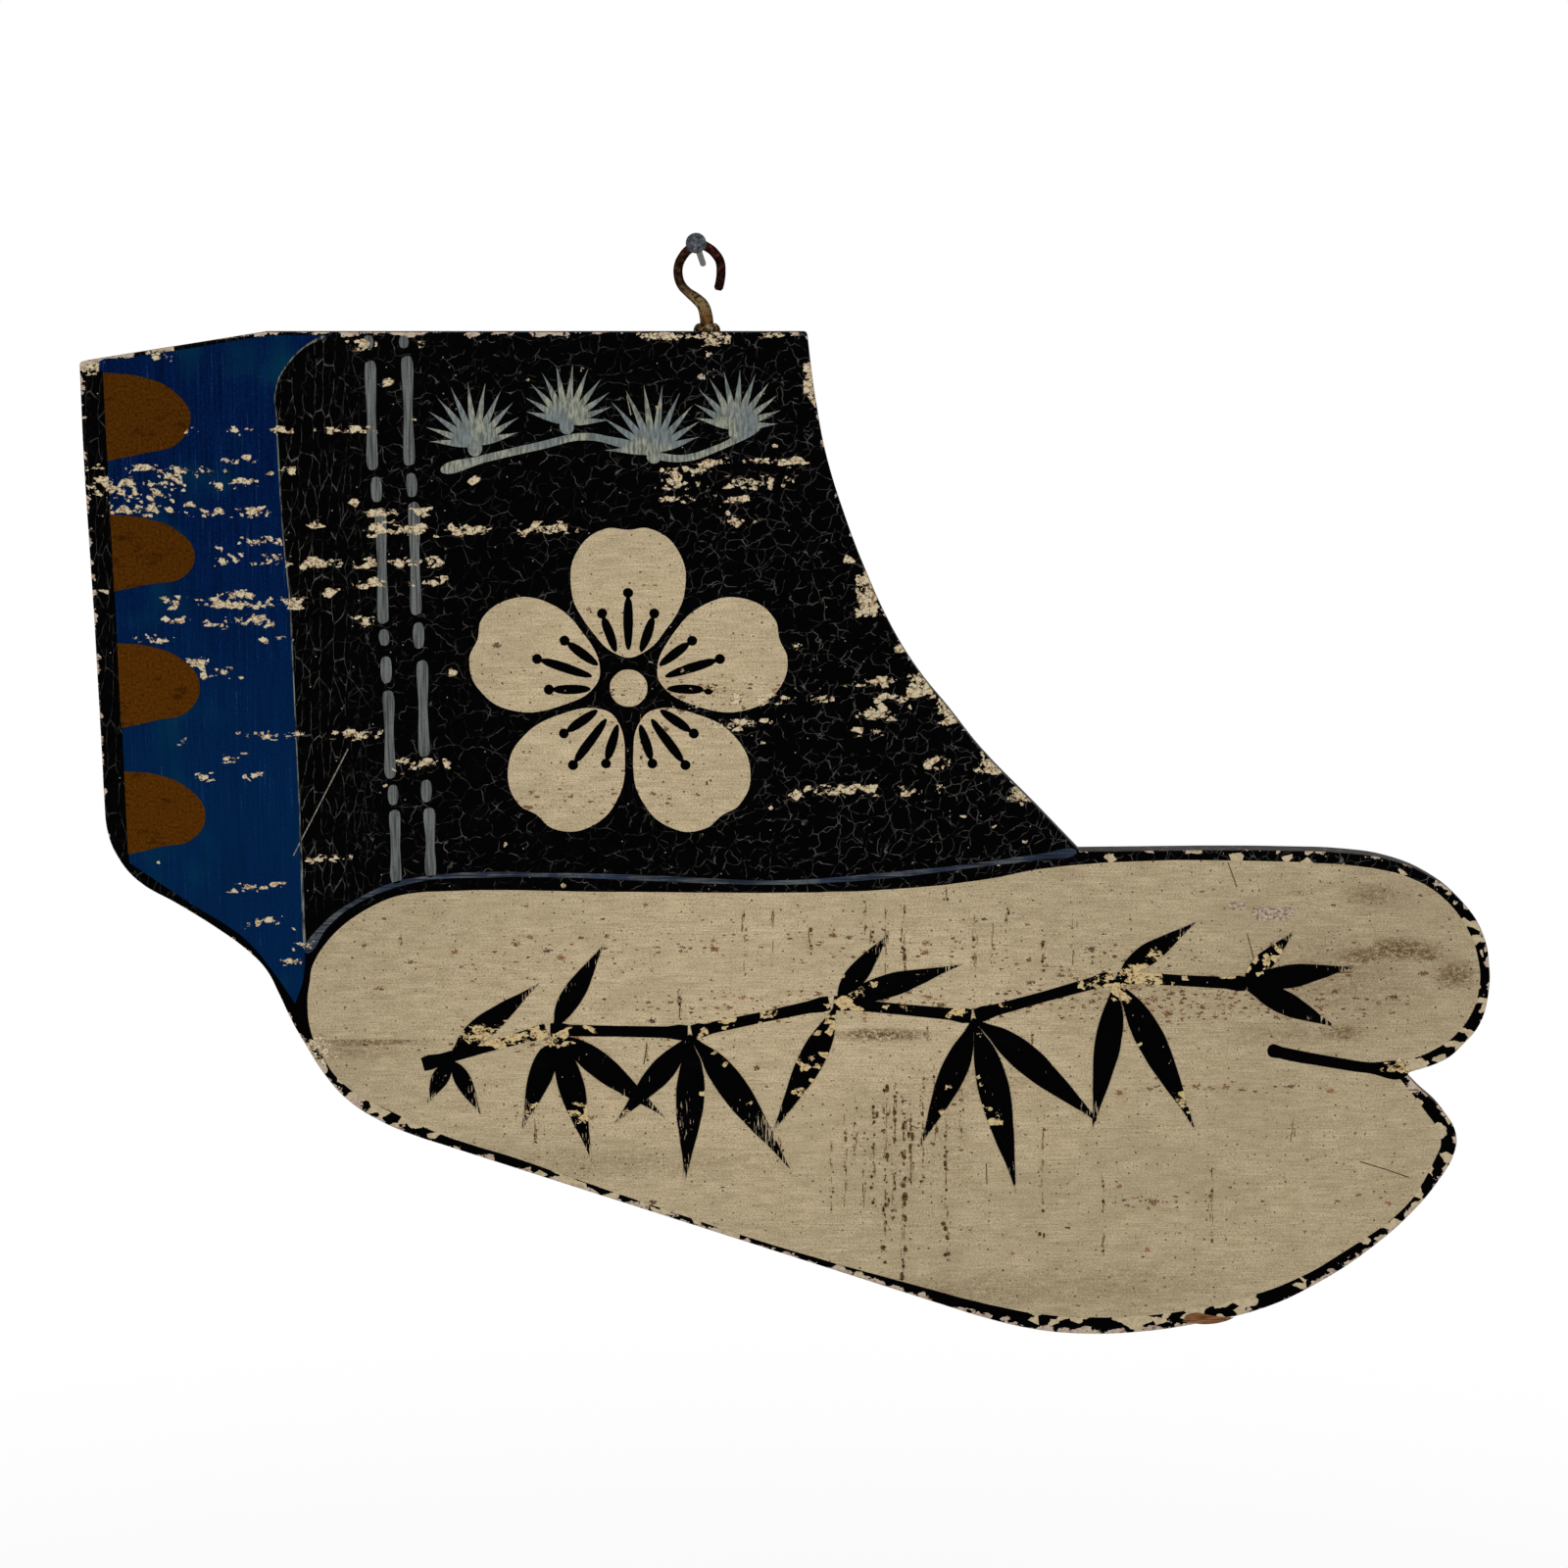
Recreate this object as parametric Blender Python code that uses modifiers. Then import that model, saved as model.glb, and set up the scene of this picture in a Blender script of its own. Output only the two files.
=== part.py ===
"""Wooden trade sign, sawn to the outline of a split-toed sock, that hangs on a wall nail by a screw hook.

The sign faces -Y and its toes point to +X. The origin is where the nail enters the wall, the plane y = 0.
Everything but the nail hangs on an empty at the nail, about which the sign swings. The outline and the hook
are drawn from the point where the hook's stem meets the board's top edge.
"""

import math

import bmesh
import bpy
from mathutils import Matrix, Vector

# Fits between pieces
CLEARANCE = 0.0003
WALL_GAP = 0.001

# Board
BOARD_THICKNESS = 0.015
ARRIS_WIDTH = 0.0012
ARRIS_STEPS = 2
SEAM_DROPS = (0.072, 0.190, 0.320)
CURVE_STEPS = 5
ARRIS_ANGLE = math.radians(55)
FLAT_ANGLE = math.radians(0.2)

# Outline, as places across (x) and up (z) from the foot of the hook's stem, clockwise
HEEL_TOP = (-0.2592, -0.0122)
TOP_BEND = (-0.183, 0.0)
ANKLE_TOP = (0.0415, 0.0)
ANKLE_SWEEP = ((0.0427, -0.0110), (0.0453, -0.0295), (0.0494, -0.0506), (0.0570, -0.0755), (0.0663, -0.0999))
INSTEP_SWEEP = ((0.0775, -0.1240), (0.0883, -0.1414), (0.1017, -0.1580), (0.1150, -0.1748), (0.1390, -0.1994))
INSTEP = (0.1565, -0.2176)
BIG_TOE_TOP = ((0.1750, -0.2174), (0.2150, -0.2170), (0.2450, -0.2173), (0.2680, -0.2182), (0.2870, -0.2211))
BIG_TOE_END = ((0.3045, -0.2283), (0.3182, -0.2392), (0.3270, -0.2525), (0.3301, -0.2665), (0.3300, -0.2790))
BIG_TOE_UNDER = ((0.3266, -0.2918), (0.3195, -0.3008), (0.3130, -0.3066))
TOE_CLEFT = (0.2958, -0.3130)
LOWER_TOE = ((0.3030, -0.3205), (0.3120, -0.3290), (0.3180, -0.3400), (0.3172, -0.3480), (0.3105, -0.3603))
BALL = ((0.2993, -0.3742), (0.2825, -0.3895), (0.2620, -0.4037), (0.2375, -0.4157), (0.2085, -0.4227))
TREAD = ((0.1850, -0.4262), (0.1580, -0.4270), (0.1370, -0.4247), (0.1180, -0.4200), (0.1000, -0.4143))
SOLE_END = ((-0.1095, -0.3452), (-0.1262, -0.3396))
HEEL_CURVE = ((-0.1390, -0.3340), (-0.1540, -0.3240), (-0.1640, -0.3120), (-0.1708, -0.3006), (-0.1764, -0.2904))
HEEL_HOLLOW = ((-0.1815, -0.2790), (-0.1870, -0.2680), (-0.1945, -0.2600), (-0.2079, -0.2499), (-0.2238, -0.2398))
HEEL_BACK = ((-0.2405, -0.2297), (-0.2485, -0.2197), (-0.2524, -0.2097), (-0.2536, -0.1950), (-0.2540, -0.1797))
HEEL_RISE = ((-0.2558, -0.1202), (-0.2585, -0.0515))

# Battens across the planks' backs, each with its place across and the drops of its two ends
BATTEN_WIDTH = 0.030
BATTEN_THICKNESS = 0.008
BATTEN_CHAMFER = 0.0012
BATTENS = {
    "heel": (-0.180, 0.024, 0.234),
    "shin": (-0.050, 0.024, 0.346),
    "toe": (0.165, 0.234, 0.406),
}

# Batten nails, forged square, driven flush from the back: what holds each plank, top plank first
BATTEN_NAILS = {
    "heel": ("pair", "pair", "middle", "none"),
    "shin": ("pair", "pair", "pair", "middle"),
    "toe": ("none", "none", "pair", "pair"),
}
NAIL_LENGTH = 0.018
NAIL_HALF_WIDTH = 0.0011
NAIL_TIP_HALF_WIDTH = 0.0004
NAIL_HEAD_HALF_WIDTH = 0.0026
NAIL_HEAD_THICKNESS = 0.0012
NAIL_SINK = 0.0001
NAIL_EDGE_MARGIN = 0.016
NAIL_STAGGER = 0.0065

# Screw hook: centreline across and up from the stem's foot, with the wire's half thickness
WIRE_RADIUS = 0.00192
STEM_RADIUS = 0.00278
SCREW_CORE_RADIUS = 0.0019
SCREW_TIP_RADIUS = 0.0006
SCREW_LENGTH = 0.028
SCREW_POINT_LENGTH = 0.0055
STEM_DEPTH = 0.0028
SCREW_SHOULDER_DEPTH = 0.0085
HOOK_SIDES = 4
HOOK_STEPS = 4
HOOK_STEM = ((0.0, 0.0027, 1.0), (-0.0004, 0.0067, 0.98), (-0.0016, 0.0106, 0.93), (-0.0043, 0.0135, 0.85))
HOOK_THROAT = ((-0.0079, 0.0163), (-0.0105, 0.0192), (-0.0118, 0.0231), (-0.0116, 0.0273))
HOOK_CROWN = ((-0.0101, 0.0306), (-0.0073, 0.0338), (-0.0030, 0.0358), (0.0009, 0.0343), (0.0036, 0.0319))
HOOK_BILL = ((0.0055, 0.0287), (0.0059, 0.0243), (0.0055, 0.0206), (0.0049, 0.0180))
BILL_END = (0.0047, 0.0170, 0.62)

# Collar under the hook's stem
COLLAR_RADIUS = 0.0056
COLLAR_HEIGHT = 0.0032
COLLAR_ARC_POINTS = 5
ROUND_STEPS = 24
SHARP_ANGLE = math.radians(35)

# Wall nail, driven with its head up and a little to the heel's side
WALL_NAIL_RISE = math.radians(11)
WALL_NAIL_LEAN = math.radians(2.2)
WALL_NAIL_RADIUS = 0.0013
WALL_NAIL_PROJECTION = 0.042
WALL_NAIL_DEPTH = 0.013
WALL_NAIL_POINT = 0.005
WALL_NAIL_HEAD_RADIUS = 0.0042
WALL_NAIL_HEAD_THICKNESS = 0.0015
WALL_NAIL_HEAD_ROUND = 0.0004
WALL_NAIL_NECK_RADIUS = 0.0023
WALL_NAIL_NECK_LENGTH = 0.016

# What the cutters add so that they pass right through
CUT_OVERRUN = 0.002
MERGE = 0.00001

nail_direction = Vector(
    (
        -math.sin(WALL_NAIL_LEAN) * math.cos(WALL_NAIL_RISE),
        -math.cos(WALL_NAIL_LEAN) * math.cos(WALL_NAIL_RISE),
        math.sin(WALL_NAIL_RISE),
    )
)
hook_plane = -(WALL_GAP + BATTEN_THICKNESS + CLEARANCE + BOARD_THICKNESS / 2)
pivot = nail_direction * (hook_plane / nail_direction.y)
crown_over_nail = (WIRE_RADIUS + WALL_NAIL_RADIUS + CLEARANCE) / math.cos(WALL_NAIL_RISE)
crown_height, crown_x = max((z, x) for x, z in HOOK_CROWN)
stem_foot = Vector((-crown_x, 0, crown_over_nail - crown_height))


def clear_scene():
    for obj in list(bpy.data.objects):
        bpy.data.objects.remove(obj, do_unlink=True)


def new_collection(name, hidden=False):
    collection = bpy.data.collections.new(name)
    collection.hide_render = hidden
    bpy.context.scene.collection.children.link(collection)
    return collection


def new_material(name, colour, roughness, metallic=0.0):
    material = bpy.data.materials.new(name)
    material.use_nodes = True
    shader = material.node_tree.nodes["Principled BSDF"]
    shader.inputs["Base Color"].default_value = (*colour, 1)
    shader.inputs["Roughness"].default_value = roughness
    shader.inputs["Metallic"].default_value = metallic
    material.diffuse_color = (*colour, 1)
    return material


def new_object(name, data, collection, parent=None, location=(0, 0, 0), material=None):
    obj = bpy.data.objects.new(name, data)
    collection.objects.link(obj)
    obj.parent = parent
    obj.location = location
    if material:
        data.materials.clear()
        data.materials.append(material)
    return obj


def as_cutter(obj):
    obj.hide_render = True
    obj.display_type = "WIRE"
    return obj


def shade_round(mesh):
    mesh.shade_smooth()
    mesh.set_sharp_from_angle(angle=SHARP_ANGLE)


def box_mesh(name, low, high):
    """A box between two corners."""
    low, high = Vector(low), Vector(high)
    mesh = bpy.data.meshes.new(name)
    shape = bmesh.new()
    bmesh.ops.create_cube(shape, size=1)
    bmesh.ops.scale(shape, vec=high - low, verts=shape.verts)
    bmesh.ops.translate(shape, vec=(low + high) / 2, verts=shape.verts)
    shape.to_mesh(mesh)
    shape.free()
    return mesh


def profile_mesh(name, profile, closed=False):
    """The line of a turned shape: radius and height, from the top down its outer side."""
    edges = [(i, i + 1) for i in range(len(profile) - 1)]
    if closed:
        edges.append((len(profile) - 1, 0))
    mesh = bpy.data.meshes.new(name)
    mesh.from_pydata([(radius, 0, height) for radius, height in profile], edges, [])
    return mesh


def turn(obj, steps):
    """Turns a profile about the object's Z axis."""
    screw = obj.modifiers.new("Turn", "SCREW")
    screw.axis = "Z"
    screw.steps = steps
    screw.render_steps = steps
    screw.use_merge_vertices = True
    screw.merge_threshold = MERGE
    screw.use_smooth_shade = steps > 4


def cut(obj, cutter, operation="DIFFERENCE"):
    boolean = obj.modifiers.new(cutter.name, "BOOLEAN")
    boolean.operation = operation
    boolean.object = cutter


def outline_points():
    """The sign's outline, each point with its kind of bend."""
    corners = {HEEL_TOP, TOP_BEND, ANKLE_TOP, INSTEP, TOE_CLEFT}
    runs = (
        (HEEL_TOP, TOP_BEND, ANKLE_TOP),
        (*ANKLE_SWEEP, *INSTEP_SWEEP, INSTEP),
        (*BIG_TOE_TOP, *BIG_TOE_END, *BIG_TOE_UNDER, TOE_CLEFT),
        (*LOWER_TOE, *BALL, *TREAD, *SOLE_END),
        (*HEEL_CURVE, *HEEL_HOLLOW, *HEEL_BACK, *HEEL_RISE),
    )
    points = [point for run in runs for point in run]
    return [(point, "VECTOR" if point in corners else "AUTO") for point in points]


def sign_blank():
    """The whole board in one piece, standing in the XZ plane with its arrises rounded."""
    points = outline_points()
    curve = bpy.data.curves.new("sign_outline", "CURVE")
    curve.dimensions = "2D"
    curve.fill_mode = "BOTH"
    curve.extrude = BOARD_THICKNESS / 2
    curve.resolution_u = CURVE_STEPS
    spline = curve.splines.new("BEZIER")
    spline.bezier_points.add(len(points) - 1)
    spline.use_cyclic_u = True
    for knot, ((x, z), kind) in zip(spline.bezier_points, points):
        knot.co = (x, z, 0)
        knot.handle_left_type = kind
        knot.handle_right_type = kind
    flat = bpy.data.objects.new("sign_outline", curve)
    bpy.context.scene.collection.objects.link(flat)
    bpy.context.view_layer.update()
    graph = bpy.context.evaluated_depsgraph_get()
    mesh = bpy.data.meshes.new_from_object(flat.evaluated_get(graph))
    bpy.data.objects.remove(flat, do_unlink=True)
    mesh.name = "sign_blank"
    shape = bmesh.new()
    shape.from_mesh(mesh)
    bmesh.ops.transform(shape, matrix=Matrix.Rotation(math.radians(90), 4, "X"), verts=shape.verts)
    bmesh.ops.remove_doubles(shape, verts=shape.verts, dist=MERGE)
    bmesh.ops.dissolve_limit(shape, angle_limit=FLAT_ANGLE, verts=shape.verts, edges=shape.edges)
    bmesh.ops.recalc_face_normals(shape, faces=shape.faces)
    shape.to_mesh(mesh)
    shape.free()
    shade_round(mesh)
    return mesh


def nail_profile(grow=0.0, overrun=0.0):
    """A square nail's line from the middle of its head to its tip, grown all round for its hole."""
    top = overrun - NAIL_SINK
    across = math.sqrt(2)
    under_head = -NAIL_SINK - NAIL_HEAD_THICKNESS - grow
    return [
        (0, top),
        ((NAIL_HEAD_HALF_WIDTH + grow) * across, top),
        ((NAIL_HEAD_HALF_WIDTH + grow) * across, under_head),
        ((NAIL_HALF_WIDTH + grow) * across, under_head),
        ((NAIL_TIP_HALF_WIDTH + grow) * across, -NAIL_LENGTH - grow),
        (0, -NAIL_LENGTH - grow),
    ]


def plank_bands():
    """The heights between which each plank lies, top plank first."""
    lowest = min(point[1] for point, _ in outline_points())
    levels = [0.0, *(-drop for drop in SEAM_DROPS), lowest]
    return list(zip(levels[1:], levels[:-1]))


def batten_nail_places():
    """Each batten nail's name and its place across and up, where a batten crosses a plank."""
    places = {}
    for name, (x, top_drop, end_drop) in BATTENS.items():
        count = 0
        for (low, high), nails in zip(plank_bands(), BATTEN_NAILS[name]):
            low, high = max(low, -end_drop), min(high, -top_drop)
            heights = {
                "pair": (high - NAIL_EDGE_MARGIN, low + NAIL_EDGE_MARGIN),
                "middle": ((low + high) / 2,),
                "none": (),
            }
            for z in heights[nails]:
                side = -1 if count % 2 else 1
                count += 1
                places[f"{name}_batten_nail_{count}"] = (x + side * NAIL_STAGGER, z)
    return places


def make_planks(parts, cutters, parent, holes, materials):
    blank = sign_blank()
    xs = [vertex.co.x for vertex in blank.vertices]
    bands = plank_bands()
    names = ("top_plank", "ankle_plank", "instep_plank", "sole_plank")
    for i, ((low, high), name) in enumerate(zip(bands, names)):
        low += CLEARANCE / 2 if i < len(bands) - 1 else -CUT_OVERRUN
        high += -CLEARANCE / 2 if i > 0 else CUT_OVERRUN
        half = BOARD_THICKNESS / 2 + CUT_OVERRUN
        band = box_mesh(
            f"{name}_band",
            (min(xs) - CUT_OVERRUN, -half, low),
            (max(xs) + CUT_OVERRUN, half, high),
        )
        cutter = as_cutter(new_object(band.name, band, cutters, parent, stem_foot))
        plank = new_object(name, blank.copy(), parts, parent, stem_foot, materials[name])
        arris = plank.modifiers.new("Rounded arris", "BEVEL")
        arris.width = ARRIS_WIDTH
        arris.segments = ARRIS_STEPS
        arris.limit_method = "ANGLE"
        arris.angle_limit = ARRIS_ANGLE
        arris.use_clamp_overlap = False
        cut(plank, cutter, "INTERSECT")
        for hole in holes:
            if low - CUT_OVERRUN < hole["height"] < high + CUT_OVERRUN:
                cut(plank, bpy.data.objects[hole["name"]])


def make_battens_and_nails(parts, cutters, parent, materials):
    """The battens, their nails and the nails' holes, which the planks are cut by too."""
    back = BOARD_THICKNESS / 2 + CLEARANCE
    outer = back + BATTEN_THICKNESS
    nail_turn = Matrix.Rotation(math.radians(-90), 4, "X") @ Matrix.Rotation(math.radians(45), 4, "Z")
    holes = []
    for name, (x, z) in batten_nail_places().items():
        place = Matrix.Translation(stem_foot + Vector((x, outer, z))) @ nail_turn
        nail = new_object(name, profile_mesh(name, nail_profile()), parts, parent, material=materials["nail"])
        hole_mesh = profile_mesh(f"{name}_hole", nail_profile(CLEARANCE, CUT_OVERRUN))
        hole = as_cutter(new_object(hole_mesh.name, hole_mesh, cutters, parent))
        for obj in (nail, hole):
            obj.matrix_local = place
            turn(obj, 4)
        holes.append({"name": hole.name, "batten": name.split("_")[0], "height": z})
    for name, (x, top_drop, end_drop) in BATTENS.items():
        low = (x - BATTEN_WIDTH / 2, back, -end_drop)
        high = (x + BATTEN_WIDTH / 2, outer, -top_drop)
        mesh = box_mesh(f"{name}_batten", low, high)
        batten = new_object(mesh.name, mesh, parts, parent, stem_foot, materials["batten"])
        chamfer = batten.modifiers.new("Chamfer", "BEVEL")
        chamfer.width = BATTEN_CHAMFER
        chamfer.segments = 1
        for hole in holes:
            if hole["batten"] == name:
                cut(batten, bpy.data.objects[hole["name"]])
    return holes


def make_screw_hook(parts, cutters, parent, material):
    """The hook and the stepped hole that its screw goes down."""
    stem = STEM_RADIUS / WIRE_RADIUS
    core = SCREW_CORE_RADIUS / WIRE_RADIUS
    tip = SCREW_TIP_RADIUS / WIRE_RADIUS
    line = [
        (0.0, -SCREW_LENGTH, tip),
        (0.0, SCREW_POINT_LENGTH - SCREW_LENGTH, core),
        (0.0, -SCREW_SHOULDER_DEPTH, core),
        (0.0, -STEM_DEPTH, stem),
    ]
    line += [(x, z, share * stem) for x, z, share in HOOK_STEM]
    line += [(x, z, 1.0) for x, z in (*HOOK_THROAT, *HOOK_CROWN, *HOOK_BILL)]
    line.append(BILL_END)
    curve = bpy.data.curves.new("screw_hook", "CURVE")
    curve.dimensions = "3D"
    curve.bevel_depth = WIRE_RADIUS
    curve.bevel_resolution = HOOK_SIDES
    curve.resolution_u = HOOK_STEPS
    curve.use_fill_caps = True
    spline = curve.splines.new("BEZIER")
    spline.bezier_points.add(len(line) - 1)
    for knot, (x, z, share) in zip(spline.bezier_points, line):
        knot.co = (x, 0, z)
        knot.radius = share
        knot.handle_left_type = "AUTO"
        knot.handle_right_type = "AUTO"
    new_object("screw_hook", curve, parts, parent, stem_foot, material)
    hole_mesh = profile_mesh(
        "hook_hole",
        [
            (0, CUT_OVERRUN),
            (STEM_RADIUS + CLEARANCE, CUT_OVERRUN),
            (STEM_RADIUS + CLEARANCE, -SCREW_SHOULDER_DEPTH),
            (SCREW_CORE_RADIUS + CLEARANCE, -SCREW_SHOULDER_DEPTH),
            (SCREW_CORE_RADIUS + CLEARANCE, -SCREW_LENGTH - CLEARANCE),
            (0, -SCREW_LENGTH - CLEARANCE),
        ],
    )
    hole = as_cutter(new_object(hole_mesh.name, hole_mesh, cutters, parent, stem_foot))
    turn(hole, ROUND_STEPS // 2)
    return {"name": hole.name, "height": -SCREW_LENGTH / 2}


def make_hook_collar(parts, parent, material):
    """A domed ring round the stem, resting on the top edge."""
    bore = STEM_RADIUS + CLEARANCE
    profile = []
    for i in range(COLLAR_ARC_POINTS + 1):
        angle = math.radians(90) * i / COLLAR_ARC_POINTS
        radius = bore + (COLLAR_RADIUS - bore) * math.sin(angle)
        profile.append((radius, CLEARANCE + COLLAR_HEIGHT * math.cos(angle)))
    profile.append((bore, CLEARANCE))
    mesh = profile_mesh("hook_collar", profile, closed=True)
    collar = new_object("hook_collar", mesh, parts, parent, stem_foot, material)
    turn(collar, ROUND_STEPS)


def make_wall_nail(parts, material):
    head = WALL_NAIL_HEAD_RADIUS
    top = WALL_NAIL_PROJECTION
    under = top - WALL_NAIL_HEAD_THICKNESS
    profile = [
        (0, top),
        (head - WALL_NAIL_HEAD_ROUND, top),
        (head, top - WALL_NAIL_HEAD_ROUND),
        (head, under + WALL_NAIL_HEAD_ROUND),
        (head - WALL_NAIL_HEAD_ROUND, under),
        (WALL_NAIL_NECK_RADIUS, under),
        (WALL_NAIL_RADIUS, under - WALL_NAIL_NECK_LENGTH),
        (WALL_NAIL_RADIUS, WALL_NAIL_POINT - WALL_NAIL_DEPTH),
        (0, -WALL_NAIL_DEPTH),
    ]
    nail = new_object("wall_nail", profile_mesh("wall_nail", profile), parts, material=material)
    nail.matrix_world = nail_direction.to_track_quat("Z", "Y").to_matrix().to_4x4()
    turn(nail, ROUND_STEPS)


def main():
    clear_scene()
    parts = new_collection("split_toe_trade_sign")
    cutters = new_collection("cutters", hidden=True)
    swing = new_object("sign_swing", None, parts, location=pivot)
    black = (0.006, 0.006, 0.007)
    cream = (0.40, 0.33, 0.22)
    iron = new_material("rusted_iron", (0.045, 0.022, 0.014), 0.75, 0.6)
    brown_iron = new_material("brown_iron", (0.10, 0.06, 0.03), 0.8, 0.5)
    materials = {
        "top_plank": new_material("black_paint_top", black, 0.45),
        "ankle_plank": new_material("black_paint_ankle", black, 0.45),
        "instep_plank": new_material("cream_paint_instep", cream, 0.6),
        "sole_plank": new_material("cream_paint_sole", cream, 0.6),
        "batten": new_material("old_cedar", (0.16, 0.09, 0.045), 0.8),
        "nail": new_material("dark_iron", (0.03, 0.02, 0.016), 0.7, 0.7),
    }
    holes = make_battens_and_nails(parts, cutters, swing, materials)
    holes.append(make_screw_hook(parts, cutters, swing, iron))
    make_planks(parts, cutters, swing, holes, materials)
    make_hook_collar(parts, swing, brown_iron)
    make_wall_nail(parts, new_material("grey_steel", (0.09, 0.10, 0.115), 0.5, 0.8))
    bpy.context.view_layer.update()


main()
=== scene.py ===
"""Paint, wood and iron for a hanging trade sign in the outline of a split-toed sock.

The boards, battens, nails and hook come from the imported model. This script lays the coats of paint over the
boards' face, gives every piece its finish, and sets the stage. Places on the face are in millimetres, across
from the hook and down from the top edge.
"""

import functools
import math
import random

import bmesh
import bpy
from bpy.props import FloatProperty, FloatVectorProperty, PointerProperty
from bpy.types import NodeSocket, Operator, Panel, PropertyGroup
from mathutils import Matrix, Vector, kdtree, noise


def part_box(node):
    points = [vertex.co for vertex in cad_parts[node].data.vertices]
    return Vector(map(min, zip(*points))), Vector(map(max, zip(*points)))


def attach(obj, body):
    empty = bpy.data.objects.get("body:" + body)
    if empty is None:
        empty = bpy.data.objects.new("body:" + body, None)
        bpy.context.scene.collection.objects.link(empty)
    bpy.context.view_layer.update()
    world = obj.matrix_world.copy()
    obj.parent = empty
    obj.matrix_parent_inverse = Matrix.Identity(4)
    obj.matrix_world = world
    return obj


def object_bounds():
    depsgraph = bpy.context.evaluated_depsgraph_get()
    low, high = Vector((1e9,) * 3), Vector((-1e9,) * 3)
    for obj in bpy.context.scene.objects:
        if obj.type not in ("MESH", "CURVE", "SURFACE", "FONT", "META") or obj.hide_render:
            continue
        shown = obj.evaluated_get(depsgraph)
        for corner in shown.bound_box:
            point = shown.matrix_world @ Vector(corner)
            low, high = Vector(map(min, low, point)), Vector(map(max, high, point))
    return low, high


bl_info = {
    "name": "Split-toe trade sign",
    "version": (1, 0, 0),
    "blender": (4, 5, 0),
    "location": "View3D > Sidebar > Trade Sign",
    "description": "Paints and fits out a hanging wooden trade sign in the outline of a split-toed sock",
    "category": "Object",
}

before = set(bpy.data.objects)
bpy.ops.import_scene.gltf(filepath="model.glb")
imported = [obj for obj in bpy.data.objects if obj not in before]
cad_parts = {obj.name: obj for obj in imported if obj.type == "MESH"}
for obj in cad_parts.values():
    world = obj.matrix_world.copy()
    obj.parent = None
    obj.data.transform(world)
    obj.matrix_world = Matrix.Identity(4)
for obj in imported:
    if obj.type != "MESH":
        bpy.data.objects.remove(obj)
cad_low, cad_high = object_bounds()

MM = 0.001
PLANKS = ("top_plank", "ankle_plank", "instep_plank", "sole_plank")
BATTENS = ("heel_batten", "shin_batten", "toe_batten")
HOOK_X = (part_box("hook_collar")[0].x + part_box("hook_collar")[1].x) / 2
FACE_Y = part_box("top_plank")[0].y
BACK_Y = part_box("top_plank")[1].y
TOP_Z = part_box("top_plank")[1].z

# How far each coat stands off the wood
COLOUR_LIFT = 0.12 * MM
DETAIL_LIFT = 0.24 * MM
ORNAMENT_LIFT = 0.30 * MM
MARK_LIFT = 0.40 * MM
# From one layer of outlines to the next in a coat
LAYER_STEP = 0.01 * MM
# Points closer than this are one point, in metres
WELD = 1e-6
# The painter's hand: the seed of the wander of painted edges, and its turns in a metre
HAND_SEED = 7
HAND_TURNS = 130
# The seed of the drops and runs
DROP_SEED = 11
# How much paint is lost: everywhere, in the rows of flakes and in the bare patches
LEAST_WEAR = 0.0012
ROW_WEAR = 0.58
PATCH_WEAR = 0.95
# Where the lamps point
LAMP_AIM = Vector((0.0343, FACE_Y, -0.2))
# The maps that the cream paint uses: wear, flaking, grime, and where it is paler or duller
CREAM_MAPS = ("wear", "flaking", "grime", "tone")

# Outlines, in millimetres across from the hook and down from the top edge. A third value marks a corner.
FOOT = (
    (-168.6, 272.8), (-167.2, 266.1), (-161.7, 256.8), (-148.3, 244.6), (-131.2, 236.4), (-108.9, 234.2),
    (-42.8, 234.5), (31.9, 234.9), (73.2, 233.7), (114.5, 229.5), (139.2, 224.9), (173.0, 221.7),
    (244.4, 221.7), (263.4, 222.6), (282.4, 224.9), (296.5, 228.8), (310.8, 237.9), (319.8, 249.6),
    (325.1, 263.1), (325.8, 276.6), (322.8, 287.2), (316.4, 296.1), (306.5, 303.0), (298.0, 306.6, 1),
    (293.1, 314.8, 1), (298.3, 321.2), (304.7, 329.7), (309.6, 336.9), (311.4, 342.9), (309.4, 348.9),
    (300.6, 366.1), (290.4, 376.9), (273.1, 389.4), (248.2, 404.0), (222.8, 412.4), (196.0, 417.8),
    (169.6, 419.6), (142.7, 418.3), (120.0, 413.9), (82.7, 403.9), (25.2, 387.0), (-35.3, 366.4),
    (-79.5, 350.6), (-115.2, 338.7), (-135.9, 328.8), (-147.9, 322.9), (-157.1, 315.2), (-163.0, 306.7),
    (-166.8, 299.7), (-169.3, 290.2), (-169.5, 279.7),
)
BLUE_BAND = (
    (-249.5, 16.5, 1), (-251.9, 13.6), (-239.2, 10.6), (-210.8, 6.2), (-185.0, 2.0), (-176.3, 1.3),
    (-154.9, 1.3, 1), (-166.3, 6.4), (-174.6, 15.3), (-178.4, 24.5), (-178.1, 34.0), (-176.6, 77.3),
    (-174.0, 113.7), (-172.9, 147.1), (-171.5, 200.6), (-170.4, 259.3), (-171.5, 272.4), (-175.0, 282.5, 1),
    (-184.5, 268.0), (-197.0, 253.4), (-216.0, 240.8), (-232.2, 229.9), (-243.6, 221.9, 1),
)
# The top, tip and bottom of each clasp
CLASPS = (
    ((-249.5, 16.5), (-213.9, 33.6), (-248.5, 52.9)),
    ((-247.9, 75.3), (-213.2, 91.6), (-247.1, 107.4)),
    ((-246.4, 129.0), (-212.4, 146.0), (-245.5, 164.7)),
    ((-244.9, 183.1), (-211.2, 200.6), (-244.1, 218.3)),
)
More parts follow.
